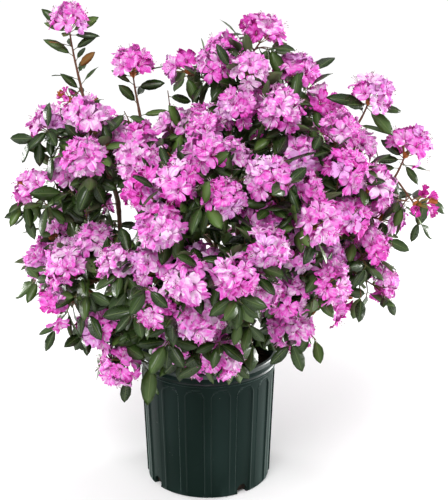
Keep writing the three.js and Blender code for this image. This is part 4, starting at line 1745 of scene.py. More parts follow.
@dataclass
class LeafBlade:
    """A leaf's form: an ellipse with a short point, folded a little, its tip curved down."""

    scale: float = 0.85
    width: float = 0.228
    petiole: float = 5.5
    petiole_radius: float = 0.75
    thickness: float = 0.6
    rows: tuple[float, ...] = (0.0, 0.12, 0.34, 0.6, 0.83, 1.0)
    columns: tuple[float, ...] = (-1.0, -0.04, 0.04, 1.0)
    sizes: Pair = (0.82, 1.06)
    widths: Pair = (0.88, 1.1)
    curls: Pair = (0.02, 0.2)
    folds: Pair = (0.05, 0.3)
    roll: float = 0.35
    wave: float = 0.02

    def faces(self) -> tuple[Array, Array]:
        """Lists the faces of a closed blade, whose two sides share their rim.

        Returns:
            The faces, and which of them are 0 upper, 1 midrib or 2 underside.
        """
        rows, columns = len(self.rows), len(self.columns)
        upper = grid_faces(rows, columns)
        under = np.arange(rows * columns).reshape(rows, columns)
        inside = rows * columns + np.arange((rows - 2) * (columns - 2)).reshape(rows - 2, columns - 2)
        under[1:-1, 1:-1] = inside
        lower = under.reshape(-1)[upper][:, [0, 3, 2, 1]]
        middle = np.arange(len(upper)) % (columns - 1) == (columns - 1) // 2
        kinds = np.concatenate([middle.astype(int), np.full(len(lower), 2)])
        return np.concatenate([upper, lower]), kinds

    def points(self, leaves: list[Leaf], bases: Array, rng: Chance) -> Array:
        """Shapes the blades of many leaves at once.

        Args:
            leaves: The leaves.
            bases: Where each leaf's stalk leaves its twig.
            rng: The source of chance.

        Returns:
            The points of each blade.
        """
        count = len(leaves)
        way = np.array([leaf.way for leaf in leaves])
        face = np.array([leaf.face for leaf in leaves])
        length = np.array([leaf.length for leaf in leaves]) * self.scale * rng.uniform(*self.sizes, count)
        roll = rng.uniform(-self.roll, self.roll, count)[:, None]
        side, face = turned(np.cross(face, way), face, roll)
        s = np.array(self.rows)[None, :, None]
        p = np.array(self.columns)[None, None, :]
        size = length[:, None, None]
        outline = np.sin(math.pi * np.clip(s, 0.004, 0.996) ** 0.95) ** 0.7
        width = self.width * np.array([leaf.width for leaf in leaves]) * rng.uniform(*self.widths, count)
        wide = width[:, None, None] * size * outline
        curl = rng.uniform(*self.curls, count)[:, None, None]
        fold = rng.uniform(*self.folds, count)[:, None, None]
        wave = self.wave * size * np.sin(7 * s + 3 * rng.uniform(-1, 1, count)[:, None, None]) * p
        rise = np.abs(p) * wide * fold - 0.25 * fold * wide * p**2 - curl * size * s**2 + wave
        run = self.petiole + size * s * (1 - 0.5 * curl * s)
        upper = (
            bases[:, None, None]
            + way[:, None, None] * run[..., None]
            + side[:, None, None] * (p * wide)[..., None]
            + face[:, None, None] * rise[..., None]
        )
        under = upper[:, 1:-1, 1:-1] - face[:, None, None] * self.thickness
        return np.concatenate([upper.reshape(count, -1, 3), under.reshape(count, -1, 3)], 1)


@dataclass
class Leaves:
    """The leaves of the masses, each spray in one of a few greens, with old ones bronze below or all over."""

    blade: LeafBlade = field(default_factory=LeafBlade)
    tone_weights: tuple[float, ...] = (0.32, 0.36, 0.24, 0.08)
    bronze_share: float = 0.08
    rust_share: float = 0.02
    rust_height: float = 500

    def add_to(self, blades: Surface, stalks: Surface, mass: Mass, rng: Chance) -> None:
        """Adds one mass's leaves and their stalks.

        Args:
            blades: What the blades are added to.
            stalks: What the stalks are added to.
            mass: The mass.
            rng: The source of chance.
        """
        faces, kinds = self.blade.faces()
        for twig in (*mass.all_twigs(), *mass.sprigs):
            if not twig.leaves:
                continue
            bases = twig.place(np.array([leaf.share for leaf in twig.leaves]))
            points = self.blade.points(twig.leaves, bases, rng)
            spray = rng.choice(4, p=self.tone_weights) if twig.tone is None else twig.tone
            tones = np.clip(spray + rng.integers(-1, 2, len(bases)), LeafTone.DEEP, LeafTone.FRESH)
            age = rng.random(len(bases))
            rusty = (age < self.rust_share) & (bases[:, 2] > self.rust_height)
            tones = np.where(rusty | (twig.tone is LeafTone.BRONZE), LeafTone.BRONZE, tones)
            below = np.where(age < self.bronze_share, LeafTone.BRONZE, LeafTone.UNDERSIDE)
            middle = np.full(len(bases), LeafTone.MIDRIB)
            blades.add(points, faces, np.stack([tones, middle, below], 1)[:, kinds])
            self._add_stalks(stalks, points, bases)

    def _add_stalks(self, stalks: Surface, points: Array, bases: Array) -> None:
        """Adds the leaf stalks, from the twig to the foot of each blade.

        Args:
            stalks: What they are added to.
            points: The points of the blades.
            bases: Where the stalks leave the twig.
        """
        columns = len(self.blade.columns)
        foot = points[:, [columns // 2 - 1, columns // 2]].mean(1)
        beyond = points[:, [columns + columns // 2]].mean(1)
        lines = np.stack([bases, foot, foot + (beyond - foot) * 0.5], 1)
        radii = np.full(lines.shape[:2], self.blade.petiole_radius) * [1, 0.9, 0.5]
        stalks.add(*tubes(lines, radii, 3), TwigPart.PETIOLE)


@dataclass
class Florets:
    """The florets of a truss, open or in bud, as arrays with one entry for each."""

    base: Array
    axis: Array
    first: Array
    second: Array
    scale: Array
    openness: Array
    level: Array
    cool: Array

    def __len__(self) -> int:
        """Returns their number."""
        return len(self.scale)

    def only(self, chosen: Array) -> Florets:
        """Returns the chosen ones."""
        return Florets(*(getattr(self, entry.name)[chosen] for entry in fields(self)))


@dataclass
class Corolla:
    """A floret's form: a funnel that opens wide into five ruffled petals.

    The radii and heights run from the foot to the rim at the given shares, in the open flower and in the bud.
    """

    petals: int = 5
    columns: int = 7
    shares: tuple[float, ...] = (0.0, 0.24, 0.42, 0.55, 0.67, 0.79, 0.9, 1.0)
    open_radius: tuple[float, ...] = (1.2, 3.0, 6.6, 10.4, 14.4, 18.2, 21.4, 23.2)
    open_height: tuple[float, ...] = (0.0, 7.0, 11.2, 13.0, 13.9, 14.2, 13.9, 13.0)
    shut_radius: tuple[float, ...] = (1.2, 2.2, 3.3, 4.1, 4.4, 3.9, 2.8, 1.3)
    shut_height: tuple[float, ...] = (0.0, 5.4, 10.2, 14.0, 17.2, 20.2, 22.5, 23.8)
    petal_width: float = 9.0
    fused_angle: float = 0.66
    fused_share: float = 0.5
    rim_share: float = 0.95
    ruffle: float = 2.4
    crimp: float = 0.95
    groove_width: float = 0.3
    notch: float = 1.6
    # How much raised folds are painted paler as highlight, and creases deeper as shade.
    fold_tone: float = 0.85
    zone_tones: tuple[float, ...] = (1.4, 0.3, -1.0, -0.9, -0.3, 0.1, 0.1)

    def shape(self, florets: Florets, rng: Chance) -> tuple[Array, Array]:
        """Shapes the petals of many florets at once.

        Args:
            florets: The florets.
            rng: The source of chance.

        Returns:
            The points, as petals x points x 3, and how far each face stands up in its petal's folds.
        """
        count, rows = len(florets), len(self.shares)
        shape, grid = (count, self.petals, 1, 1), (count, self.petals, rows, self.columns)
        s = np.array(self.shares)[None, None, :, None]
        p = np.linspace(-1, 1, self.columns)[None, None, None, :]
        opened = florets.openness[:, None] + rng.uniform(-0.16, 0.16, shape[:2])
        opened = np.clip(opened, 0, 1.15)[..., None, None]
        profiles = np.array([self.shut_radius, self.open_radius, self.shut_height, self.open_height])
        shut_radius, open_radius, shut_height, open_height = profiles[:, None, None, :, None]
        stretch = 1 + rng.uniform(-0.16, 0.12, shape) * np.clip((s - 0.4) / 0.6, 0, 1)
        radius = lerp(shut_radius, open_radius, opened) * stretch
        height = lerp(shut_height, open_height, opened)
        lobe = np.sqrt(np.clip(1 - ((s - 0.74) / 0.285) ** 2, 0.04, 1))
        lobe_share = 0.35 + 0.65 * np.clip(opened, 0, 1)
        lobe_width = self.petal_width * rng.uniform(0.88, 1.15, shape) * lobe * lobe_share
        width = np.where(s < self.fused_share, radius * self.fused_angle, lobe_width)
        spin = rng.uniform(-0.14, 0.14, shape[:2])
        middle = FULL_TURN * np.arange(self.petals) / self.petals + spin

        # The ruffles: waves at the edge, folds and a fine crimp, which grow from the throat to the rim.
        loose = np.clip((s - 0.3) / 0.7, 0, 1) ** 1.3 * np.clip(opened, 0.2, 1)
        phase = rng.uniform(0, FULL_TURN, (5, *shape))
        edge = np.abs(p) ** 1.4 * np.sin(12.5 * s + 1.6 * p + phase[0])
        fold = 0.55 * np.sin(5.2 * p + 3.0 * s + phase[1]) + 0.35 * np.sin(8.5 * p + phase[2])
        crimp = self.crimp * rng.uniform(-1, 1, grid)
        lift = loose * (self.ruffle * (1.15 * edge + fold) + crimp)
        bend = loose * s * rng.uniform(-5.5, 2.5, shape) + loose * p * rng.uniform(-2.6, 2.6, shape)
        near_middle = np.exp(-((p / self.groove_width) ** 2))
        groove = -1.0 * loose * near_middle
        rim = s > self.rim_share
        side = p * width + loose * 0.8 * np.sin(7 * s + phase[3])
        fringe = loose * self.crimp * rng.uniform(-1.5, 1.5, grid)
        round_off = radius * (1 - 0.2 * (side / np.maximum(radius, 1)) ** 2)
        out = round_off - self.notch * rim * near_middle + 0.6 * lift + rim * fringe
        up = height + lift + groove + bend

        vectors = [part[:, None, None, None] for part in (florets.first, florets.second, florets.axis)]
        outward, sideways = turned(vectors[0], vectors[1], middle[..., None, None, None])
        local = out[..., None] * outward + side[..., None] * sideways + up[..., None] * vectors[2]
        points = florets.base[:, None, None, None] + florets.scale[:, None, None, None, None] * local
        stand = (lift + 0.8 * groove).reshape(-1, rows, self.columns)
        stand = (stand[:, 1:, 1:] + stand[:, :-1, 1:] + stand[:, 1:, :-1] + stand[:, :-1, :-1]) / 4
        return points.reshape(-1, rows * self.columns, 3), stand

    def tones(self, florets: Florets, stand: Array, rng: Chance) -> Array:
        """Deals out the tones of the petals' faces: pale at the throat; on folds a painted highlight, between
        them a painted shade.

        Args:
            florets: The florets.
            stand: How far each face stands up in its petal's folds.
            rng: The source of chance.

        Returns:
            The tones, as petals x faces.
        """
        zone = np.array(self.zone_tones)[:, None]
        row = np.arange(len(zone))[:, None]
        count = len(florets) * self.petals
        streak = rng.uniform(-0.8, 1.2, (count, 1, self.columns - 1))
        petals = np.repeat(florets.level, self.petals) + rng.normal(0, 0.4, count)
        # Painted highlight and shade: faces raised in the folds get paler tones, faces in the creases deeper
        # ones.
        level = petals[:, None, None] + zone + streak * (row >= 2) - self.fold_tone * stand
        tones = np.clip(np.round(level), 0, PetalTone.CRIMSON).astype(int).reshape(count, -1)
        cool = np.repeat(florets.cool, self.petals)[:, None]
        warm = tones.copy()
        tones[cool & (warm > PetalTone.BLUSH) & (warm < PetalTone.ORCHID)] = PetalTone.LILAC
        tones[cool & (warm >= PetalTone.ORCHID) & (warm < PetalTone.CRIMSON)] = PetalTone.VIOLET
        return tones


@dataclass
class Blossom:
    """The trusses: florets in a ball, with stamens, stalks and bud scales.

    Reaches, scales, openness and levels go from a bud's value to an open truss's. Other pairs are ranges.
    """

    corolla: Corolla = field(default_factory=Corolla)
    florets: tuple[int, int] = (10, 13)
    bud_florets: int = 8
    full_stage: float = 0.6
    stages: Pair = (0.86, 1)
    cap_angle: float = 110
    mouth: float = 0.75
    root: float = 0.62
    funnel: float = 13
    reaches: Pair = (0.75, 1)
    scales: Pair = (0.8, 1)
    openness: Pair = (0.1, 0.95)
    levels: Pair = (3.6, 1.15)
    cool_share: float = 0.08
    stamens: int = 5
    stamen_reach: Pair = (13, 20)
    stamen_radius: float = 0.36
    anther_length: float = 1.5
    scaled_share: float = 0.4
    bud_rise: float = 0.85
    bud_scales: int = 9
    scale_lengths: Pair = (8, 13)
    scale_width: float = 3.4

    def plan_florets(self, truss: Truss, stage: float, rng: Chance) -> Florets:
        """Spreads the florets of a truss over its ball.

        Args:
            truss: The truss.
            stage: How far it has opened, from 0 in bud to 1.
            rng: The source of chance.

        Returns:
            The florets.
        """
        count = int(rng.integers(*self.florets)) if stage > self.full_stage else self.bud_florets
        index = np.arange(count) + 0.5
        polar = np.arccos(1 - index / count * (1 - math.cos(math.radians(self.cap_angle))))
        polar += rng.normal(0, 0.1, count)
        turn = index * GOLDEN_TURN + truss.turn + rng.normal(0, 0.15, count)
        first, second = across(truss.axis)
        level = turned(first, second, turn[:, None])[0] * np.sin(polar)[:, None]
        way = level + truss.axis * np.cos(polar)[:, None]
        flat = level + truss.axis * (np.cos(polar) * TRUSS.flatness)[:, None]
        reach = truss.radius * self.mouth * rng.uniform(0.93, 1.05, count) * lerp(*self.reaches, stage)
        mouth = truss.centre + flat * reach[:, None]
        foot = truss.centre - truss.axis * self.root * truss.radius
        axis = unit(0.55 * way + 0.45 * unit(mouth - foot) + rng.normal(0, 0.12, (count, 3)))
        scale = truss.radius / TRUSS.radius * rng.uniform(0.76, 0.98, count) * lerp(*self.scales, stage)
        spin = rng.uniform(0, FULL_TURN, count)[:, None]
        helper = unit(np.cross(axis, first + 0.01))
        first, second = turned(helper, np.cross(axis, helper), spin)
        openness = np.clip(rng.normal(lerp(*self.openness, stage), 0.1, count), 0, 1.1)
        level = rng.normal(lerp(*self.levels, stage), 0.6, count) + rng.normal(0, 0.35)
        # Painted shade: florets low round the ball's sides get deeper tones; less open florets are truly
        # deeper.
        level = level + 0.5 * polar + 1.5 * (1 - openness)
        base = mouth - axis * (self.funnel * scale)[:, None]
        cool = rng.random(count) < self.cool_share
        florets = Florets(base, axis, first, second, scale, openness, level, cool)
        shown = ~in_opening(mouth)
        return florets.only(shown) if shown.any() else florets

    def add_to(self, petals: Surface, fine: Surface, mass: Mass, rng: Chance) -> None:
        """Adds one mass's trusses.

        Args:
            petals: What the petals are added to.
            fine: What the stamens, stalks and scales are added to.
            mass: The mass.
            rng: The source of chance.
        """
        faces = grid_faces(len(self.corolla.shares), self.corolla.columns)
        for index, truss in enumerate(mass.trusses):
            name = (mass.row.name, index)
            stage = STAGES.get(name, float(rng.uniform(*self.stages)))
            florets = self.plan_florets(truss, stage, rng)
            points, stand = self.corolla.shape(florets, rng)
            petals.add(points, faces, self.corolla.tones(florets, stand, rng))
            self._add_stamens(fine, florets, rng)
            self._add_pedicels(fine, florets, truss)
            in_bud = stage < self.full_stage
            if in_bud or rng.random() < self.scaled_share:
                self._add_scales(fine, truss, 0, rng)
            if in_bud or name in OPENING_TRUSSES:
                self._add_scales(fine, truss, self.bud_rise, rng)

    def _add_stamens(self, fine: Surface, florets: Florets, rng: Chance) -> None:
        """Adds curved filaments with an anther at each tip.

        Args:
            fine: What they are added to.
            florets: The florets of a truss.
            rng: The source of chance.
        """
        florets = florets.only(np.repeat(np.flatnonzero(florets.openness > 0.5), self.stamens))
        count = len(florets)
        if not count:
            return
        turn = rng.uniform(0, FULL_TURN, count)[:, None]
        lean = rng.uniform(0.08, 0.34, count)[:, None]
        scale = florets.scale[:, None]
        side = turned(florets.first, florets.second, turn)[0]
        reach = rng.uniform(*self.stamen_reach, count)[:, None] * scale
        foot = florets.base + florets.axis * 5 * scale
        middle = foot + florets.axis * reach * 0.5 + side * reach * lean * 0.3
        tip = foot + florets.axis * reach + side * reach * lean
        end = tip + unit(tip - middle) * self.anther_length
        lines = np.stack([foot, middle, tip, end], 1)
        radii = np.tile(np.array([1, 1, 1, 2]) * self.stamen_radius, (count, 1))
        parts = np.repeat([FinePart.FILAMENT, FinePart.FILAMENT, FinePart.ANTHER], 3)
        fine.add(*tubes(lines, radii, 3), parts)

    @staticmethod
    def _add_pedicels(fine: Surface, florets: Florets, truss: Truss) -> None:
        """Adds the stalk of each floret, from the twig's tip to its funnel.

        Args:
            fine: What they are added to.
            florets: The florets of the truss.
            truss: The truss.
        """
        foot = np.broadcast_to(truss.seat(), florets.base.shape)
        middle = (foot + florets.base) / 2 - truss.axis * 1.5
        lines = np.stack([foot, middle, florets.base + florets.axis], 1)
        radii = np.tile([0.8, 0.7, 1.1], (len(florets), 1))
        fine.add(*tubes(lines, radii, 3), FinePart.PEDICEL)

    def _add_scales(self, fine: Surface, truss: Truss, rise: float, rng: Chance) -> None:
        """Adds the brown scales of a flower bud.

        Args:
            fine: What they are added to.
            truss: The truss.
            rise: How far above the truss's seat they are, as a share of its radius.
            rng: The source of chance.
        """
        count = self.bud_scales
        turn = np.arange(count) * GOLDEN_TURN + rng.uniform(0, 6)
        out, side = turned(*across(truss.axis), turn[:, None])
        s = np.array([0, 0.35, 0.7, 1.0])[None, :, None]
        p = np.array([-1.0, 0.0, 1.0])[None, None, :]
        up = rng.uniform(*self.scale_lengths, count)[:, None, None] * s + 0 * p
        wide = self.scale_width * np.sin(math.pi * np.clip(s, 0.12, 0.95)) ** 0.8
        radius = 2.0 + 3.4 * s**0.7 * rng.uniform(0.8, 1.5, count)[:, None, None] - 0.5 * p**2
        points = (
            truss.seat()
            + truss.axis * (rise * truss.radius - 3)
            + out[:, None, None] * radius[..., None]
            + side[:, None, None] * (p * wide)[..., None]
            + truss.axis * up[..., None]
        )
        fine.add(points.reshape(count, -1, 3), grid_faces(4, 3), FinePart.BUD_SCALE)


@dataclass
class Crown:
    """The masses of the crown, joined by part of the crown and by kind."""

    twigs: Twigs = field(default_factory=Twigs)
    leaves: Leaves = field(default_factory=Leaves)
    blossom: Blossom = field(default_factory=Blossom)
    seed: int = 101

    def build(self, plan: Plan) -> None:
        """Makes the pieces of each part of the crown.

        Args:
            plan: The plant.
        """
        for side in Side:
            masses = [mass for mass in plan.masses if Side.of(mass.row) is side]
            wood, blades, petals, fine = Surface(), Surface(), Surface(), Surface()
            for mass in masses:
                rng = np.random.default_rng(self.seed + ROWS.index(mass.row))
                self.twigs.add_to(wood, mass)
                self.leaves.add_to(blades, wood, mass, rng)
                self.blossom.add_to(petals, fine, mass, rng)
            made = (
                (wood.piece(f"twigs_{side.value}", TWIG_FINISHES), "bark"),
                (blades.piece(f"leaves_{side.value}", LEAF_FINISHES), "leaf"),
                (petals.piece(f"blossom_{side.value}", PETAL_FINISHES), "blossom"),
                (fine.piece(f"stamens_{side.value}", FINE_FINISHES), "blossom"),
            )
            for piece, slot in made:
                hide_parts(*(f"mass_{mass.row.name}" for mass in masses))


@dataclass
class NurseryPot:
    """The fluted pot: a rounded rim over a band, arched flutes down its side and drain holes at its heel."""

    sizes: PotSizes = POT
    rib_share: float = 0.3
    flute_top: float = 197
    flute_edge: float = 1.1
    flute_depth: float = 2.1
    ridge_height: float = 0.5
    ridge_width: float = 0.75
    ridge_place: float = 0.9
    lip_radius: float = 3.0
    crease: float = 32
    # The paler green and sheen of the ridges, ledge and lip: a painted highlight along those edges.
    worn_green: Colour = (0.0085, 0.0195, 0.0160)
    worn_film: Colour = (0.018, 0.033, 0.029)

    def build(self) -> None:
        """Makes the pot."""
        surface = Surface()
        turns = self._turns()
        outline = self._outline()
        section, height = outline.T[..., None]
        on_skin = section >= 0.99 * self.sizes.body_radius(height)
        radius = np.where(on_skin, section - self._flutes(height, turns[None]), section)
        points = np.stack([radius * np.cos(turns), radius * np.sin(turns), height + 0 * radius], -1)
        faces = grid_faces(len(outline), len(turns), closed=True)
        # Painted highlight: the ridges, the ledge and the lip are dealt a paler green than the body.
        edge_highlight = self._worn(height, turns[None]).reshape(-1)[faces[:, 0]]
        surface.add(points.reshape(1, -1, 3), faces, edge_highlight[None])
        ridge = PotFinish("pot_ridge", self.worn_green, self.worn_film, gloss=0.13)
        lip = PotFinish("pot_lip", self.worn_green, self.worn_film, gloss=0.6)
        piece = surface.piece("nursery_pot", [PotFinish(), ridge, lip], self.crease)
        self._close_bottom(piece, len(turns))
        self._drill(piece)
        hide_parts("pot")

    def _turns(self) -> Array:
        """Spaces the columns, closer together at the edges of the flutes.

        Returns:
            The angles of the columns.
        """
        near = np.array([0.0, 0.5, 0.68, 0.78, 0.87, 0.96, 1.05, 1.15, 1.3, 1.7]) * (self.rib_share / 2)
        shares = np.concatenate([near, [0.4, 0.5, 0.6], 1 - near[:0:-1]])
        flutes = self.sizes.flutes
        return np.concatenate([(k + shares) * (FULL_TURN / flutes) for k in range(flutes)])

    def _outline(self) -> Array:
        """Draws the pot's section, from the middle of the underside out, up and in.

        Returns:
            Its radii and heights.
        """
        sizes = self.sizes
        rim, foot, lip = sizes.rim_radius, sizes.foot_radius, self.lip_radius
        under = sizes.height - sizes.rim_band
        skin = sizes.wall + sizes.flute_depth
        side = np.array([sizes.heel, 8, *range(16, 176, 12), *np.arange(178, 201, 1.3), 203.2])
        arc = np.linspace(0, math.pi, 11)
        return np.array(
            [
                (8.0, 0.0), (60.0, 0.0), (foot - sizes.heel, 0.0), (foot - 1.2, 1.2),
                *zip(sizes.body_radius(side), side),
                (rim - 2.1, 204.0), (rim - 1.5, 204.8), (rim - 1.5, 207.6), (rim - 3.0, 209.8),
                (rim - 3.0, 211.2), (rim - 0.8, 211.8), (rim - 0.1, 212.8), (rim - 0.1, 217.5),
                (rim - 0.6, 219.2), (rim - 0.6, 221.0), (rim, 222.4),
                *((rim - lip + lip * math.cos(a), sizes.height - lip + lip * math.sin(a)) for a in arc),
                (rim - sizes.rim_wall, under + sizes.wall + 2),
                (sizes.body_radius(under) - skin, under - sizes.wall),
                (sizes.body_radius(100) - skin, 100.0), (foot - sizes.heel - skin, sizes.floor),
                (60.0, sizes.floor), (8.0, sizes.floor),
            ]
        )

    def _inside(self, height: Array, turn: Array) -> Array:
        """Measures places against the edges of the flutes.

        Args:
            height: The heights.
            turn: The turns round the pot.

        Returns:
            How far inside the edge of a flute each place is.
        """
        pitch = FULL_TURN / self.sizes.flutes
        body = self.sizes.body_radius(height)
        place = np.abs((turn / pitch) % 1 - 0.5) * pitch * body
        half = (1 - self.rib_share) / 2 * pitch * body
        return half - np.hypot(place, np.maximum(height - (self.flute_top - half), 0))

    def _flutes(self, height: Array, turn: Array) -> Array:
        """Presses in the flutes and raises the ridge along their edge.

        Args:
            height: The heights.
            turn: The turns round the pot.

        Returns:
            How deep each place is pressed.
        """
        inside = self._inside(height, turn)
        pressed = self.flute_depth * np.clip(inside / self.flute_edge + 0.5, 0, 1)
        ridge = self.ridge_height * np.exp(-(((inside + self.ridge_place) / self.ridge_width) ** 2))
        return (pressed - ridge) * ((height > 2) & (height < self.flute_top + 3))

    def _worn(self, height: Array, turn: Array) -> Array:
        """Deals out the pot's finishes, with a paler green as painted highlight on the ridges, ledge and lip.

        Args:
            height: The heights.
            turn: The turns round the pot.

        Returns:
            For each place 1 on the ridges, 2 on the shiny ledge and lip, else 0.
        """
        # Painted highlight: the ridges beside the flutes, the ledge and the lip.
        on_ridge = np.abs(self._inside(height, turn) + 0.8) < 0.6
        ridge = on_ridge & (height > 6) & (height < self.flute_top + 3)
        shiny = ((height > 207) & (height < 209)) | (height > 219)
        return np.where(shiny, 2, ridge.astype(int))

    def _close_bottom(self, piece: bpy.types.Object, columns: int) -> None:
        """Closes the middle of the floor, below and above, with a face each.

        Args:
            piece: The pot.
            columns: The number of its columns.
        """
        mesh = piece.data
        points = [vertex.co.copy() for vertex in mesh.vertices]
        faces = [tuple(face.vertices) for face in mesh.polygons]
        slots = [face.material_index for face in mesh.polygons]
        below, above = range(columns), range(len(points) - columns, len(points))
        mesh.clear_geometry()
        mesh.from_pydata(points, [], [*faces, tuple(below)[::-1], tuple(above)])
        mesh.polygons.foreach_set("material_index", [*slots, 0, 0])
        mesh.shade_smooth()
        mesh.set_sharp_from_angle(angle=math.radians(self.crease))

    def _drill(self, piece: bpy.types.Object) -> None:
        """Cuts the arched drain holes through the heel.

        Args:
            piece: The pot.
        """
        sizes = self.sizes
        half = sizes.drain_width / 2
        arch = [(-half, -3.0), (half, -3.0)]
        for a in np.linspace(0, math.pi, 13):
            arch.append((half * math.cos(a), sizes.drain_height - half + half * math.sin(a)))
        size = len(arch)
        points, faces = [], []
        for k in range(sizes.drain_holes):
            turn = (1.5 / sizes.flutes + k / sizes.drain_holes) * FULL_TURN - math.pi / 2
            near = range(len(points), len(points) + size)
            for depth in (sizes.foot_radius - sizes.drain_depth, sizes.foot_radius + 6):
                for x, z in arch:
                    out = np.array([math.cos(turn), math.sin(turn)]) * depth
                    side = np.array([-math.sin(turn), math.cos(turn)]) * x
                    points.append((*((out + side) * MM), z * MM))
            faces += [tuple(near)[::-1], tuple(i + size for i in near)]
            faces += [(i, j, j + size, i + size) for i, j in zip(near, (*near[1:], near[0]))]
        cutter = bpy.data.meshes.new("drain_cutter")
        cutter.from_pydata(points, [], faces)
        tool = put("drain_cutter", cutter)
        modifier = piece.modifiers.new("drains", "BOOLEAN")
        modifier.operation = "DIFFERENCE"
        modifier.solver = "EXACT"
        modifier.object = tool
        depsgraph = bpy.context.evaluated_depsgraph_get()
        cut = bpy.data.meshes.new_from_object(piece.evaluated_get(depsgraph), depsgraph=depsgraph)
        piece.modifiers.clear()
        piece.data = cut
        bpy.data.objects.remove(tool)
        LOG.info("%s: %d faces after drilling", piece.name, len(cut.polygons))


@dataclass
class PottingMix:
    """The soil: a bumpy top under bark chips, and plain sides where the pot hides it."""

    sizes: PotSizes = POT
    columns: int = 72
    rings: int = 22
    bump: float = 2.2
    hidden_drop: float = 60
    crease: float = 35
    chips: int = 420
    chip_lengths: Pair = (3, 8)
    chip_width: float = 0.4
    chip_thickness: float = 0.9
    seed: int = 5

    def build(self) -> None:
        """Makes the soil and its chips."""
        low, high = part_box("soil")
        reach = high.x / MM
        bottom = low.z / MM
        sizes = self.sizes
        foot = sizes.foot_radius - sizes.heel - sizes.wall - sizes.flute_depth - 2 * GAP
        rings = [(radius, sizes.soil_top) for radius in np.linspace(2, reach, self.rings)]
        rings += [(reach - 4, sizes.soil_top - self.hidden_drop)]
        rings += [(foot, bottom), (foot / 2, bottom), (2, bottom)]
        turn = FULL_TURN * np.arange(self.columns) / self.columns
        radius, height = np.array(rings).T[..., None] + 0 * turn
        x, y = radius * np.cos(turn), radius * np.sin(turn)
        loose = (height > sizes.soil_top - 1) & (radius < reach - 1)
        height = height + loose * self._heave(x, y)
        faces = [
            grid_faces(len(rings), self.columns, closed=True)[:, ::-1],
            cap_faces(0, self.columns, back=False),
            cap_faces((len(rings) - 1) * self.columns, self.columns, back=True),
        ]
        surface = Surface()
        surface.add(np.stack([x, y, height], -1).reshape(1, -1, 3), np.concatenate(faces))
        self._add_chips(surface, reach, np.random.default_rng(self.seed))
        piece = surface.piece("potting_mix", [SoilFinish()], self.crease)
        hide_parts("soil")

    def _heave(self, x: Array, y: Array) -> Array:
        """Returns how far the top lies from level at a place."""
        wave = np.sin(0.11 * x + 1.3) * np.cos(0.13 * y) + 0.6 * np.sin(0.31 * x - 0.27 * y)
        return self.bump * (wave + 0.5 * np.sin(0.8 * x) * np.sin(0.73 * y + 2))

    def _add_chips(self, surface: Surface, reach: float, rng: Chance) -> None:
        """Scatters bark chips over the top.

        Args:
            surface: What they are added to.
            reach: The radius of the top.
            rng: The source of chance.
        """
        count = self.chips
        radius = (reach - 9) * np.sqrt(rng.uniform(0.03, 1, count))
        turn = rng.uniform(0, FULL_TURN, count)
        x, y = radius * np.cos(turn), radius * np.sin(turn)
        centre = np.stack([x, y, self.sizes.soil_top + self._heave(x, y) + 0.6], -1)
        way = unit(np.stack([rng.normal(0, spread, count) for spread in (1, 1, 0.25)], -1))
        side = unit(np.cross(UP, way))
        rise = np.cross(way, side) * self.chip_thickness
        length = rng.uniform(*self.chip_lengths, (count, 1))
        corners = []
        for up in (-1, 1):
            for a, b in ((-1, -1), (1, -1), (1, 1), (-1, 1)):
                size = length * rng.uniform(0.6, 1.1, (count, 1))
                corners.append(centre + (way * a + side * b * self.chip_width) * size + rise * up)
        faces = np.array([(3, 2, 1, 0), (4, 5, 6, 7), (0, 1, 5, 4), (1, 2, 6, 5), (2, 3, 7, 6), (3, 0, 4, 7)])
        surface.add(np.stack(corners, 1), faces)


@dataclass(frozen=True)
class SoftLight:
    """A square soft light that faces the crown: its place and size in metres, and its power in watts."""

    name: str
    place: Place
    power: float
    size: float = 0.9
    target: Place = (0, 0, 0.45)

    def hang(self) -> None:
        """Puts the light in the scene."""
        data = bpy.data.lights.new(self.name, "AREA")
        data.size = self.size
        data.energy = self.power
        light = put(self.name, data)
        light.location = self.place
        way = np.array(self.target) - np.array(self.place)
        drop = math.atan2(math.hypot(way[0], way[1]), -way[2])
        light.rotation_euler = (drop, 0, math.atan2(way[1], way[0]) - math.pi / 2)


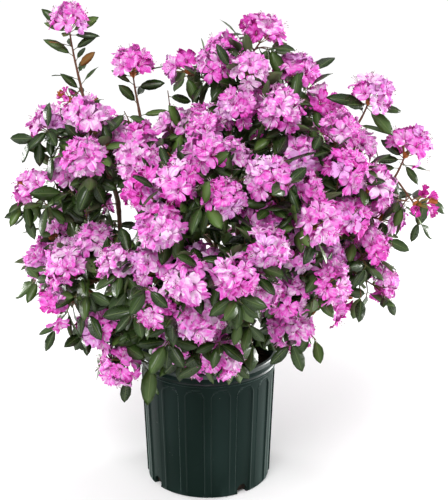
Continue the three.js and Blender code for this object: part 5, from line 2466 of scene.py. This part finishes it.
@dataclass
class Studio:
    """The camera at the photograph's angle, soft lights and a pale floor, in metres and degrees."""

    camera_place: Place = CAMERA_PLACE
    camera_pitch: float = 19.2
    focal_pixels: float = 1436
    frame_height: float = 500
    sensor: float = 36
    far: float = 60
    lights: tuple[SoftLight, ...] = (
        SoftLight("left", (-1.8, 1.1, 0.12), 65),
        SoftLight("right", (1.8, 0.85, 0.12), 98),
    )
    floor_size: float = 30
    world_strength: float = 0.66
    sun_strength: float = 2.0
    sun_turn: Pair = (40, -13)
    sun_width: float = 28

    def build(self) -> None:
        """Sets the camera, the lights, the world and the floor."""
        scene = bpy.context.scene
        data = bpy.data.cameras.new("camera")
        data.sensor_width = self.sensor
        data.lens = self.sensor * self.focal_pixels / self.frame_height
        data.clip_end = self.far
        scene.camera = put("camera", data)
        scene.camera.location = self.camera_place
        scene.camera.rotation_euler = (math.radians(90 - self.camera_pitch), 0, 0)
        scene.view_settings.view_transform = "Standard"
        for light in self.lights:
            light.hang()
        self._sun()
        world = bpy.data.worlds.new("studio")
        world.use_nodes = True
        background = world.node_tree.nodes["Background"]
        background.inputs["Color"].default_value = (1, 1, 1, 1)
        background.inputs["Strength"].default_value = self.world_strength
        scene.world = world
        self._floor()

    def _sun(self) -> None:
        """Adds a broad, soft sun from above and in front."""
        data = bpy.data.lights.new("sun", "SUN")
        data.energy = self.sun_strength
        data.angle = math.radians(self.sun_width)
        put("sun", data).rotation_euler = (*map(math.radians, self.sun_turn), 0)

    def _floor(self) -> None:
        """Lays the floor."""
        half = self.floor_size / 2
        mesh = bpy.data.meshes.new("floor")
        corners = [(-half, -half, 0), (half, -half, 0), (half, half, 0), (-half, half, 0)]
        mesh.from_pydata(corners, [], [(0, 1, 2, 3)])
        mesh.materials.append(FloorFinish().material())
        put("floor", mesh)


def main() -> None:
    """Builds the studio, the pot, the soil, the limbs and the crown."""
    logging.basicConfig(level=logging.INFO, format="%(name)s: %(message)s")
    Studio().build()
    plan = Plan()
    grower = SprigGrower(plan)
    for mass in plan.masses:
        grower.grow(mass)
    LOG.info("%d trusses", sum(len(mass.trusses) for mass in plan.masses))
    NurseryPot().build()
    PottingMix().build()
    Bark().build(plan)
    Crown().build(plan)


if __name__ == "__main__":
    main()
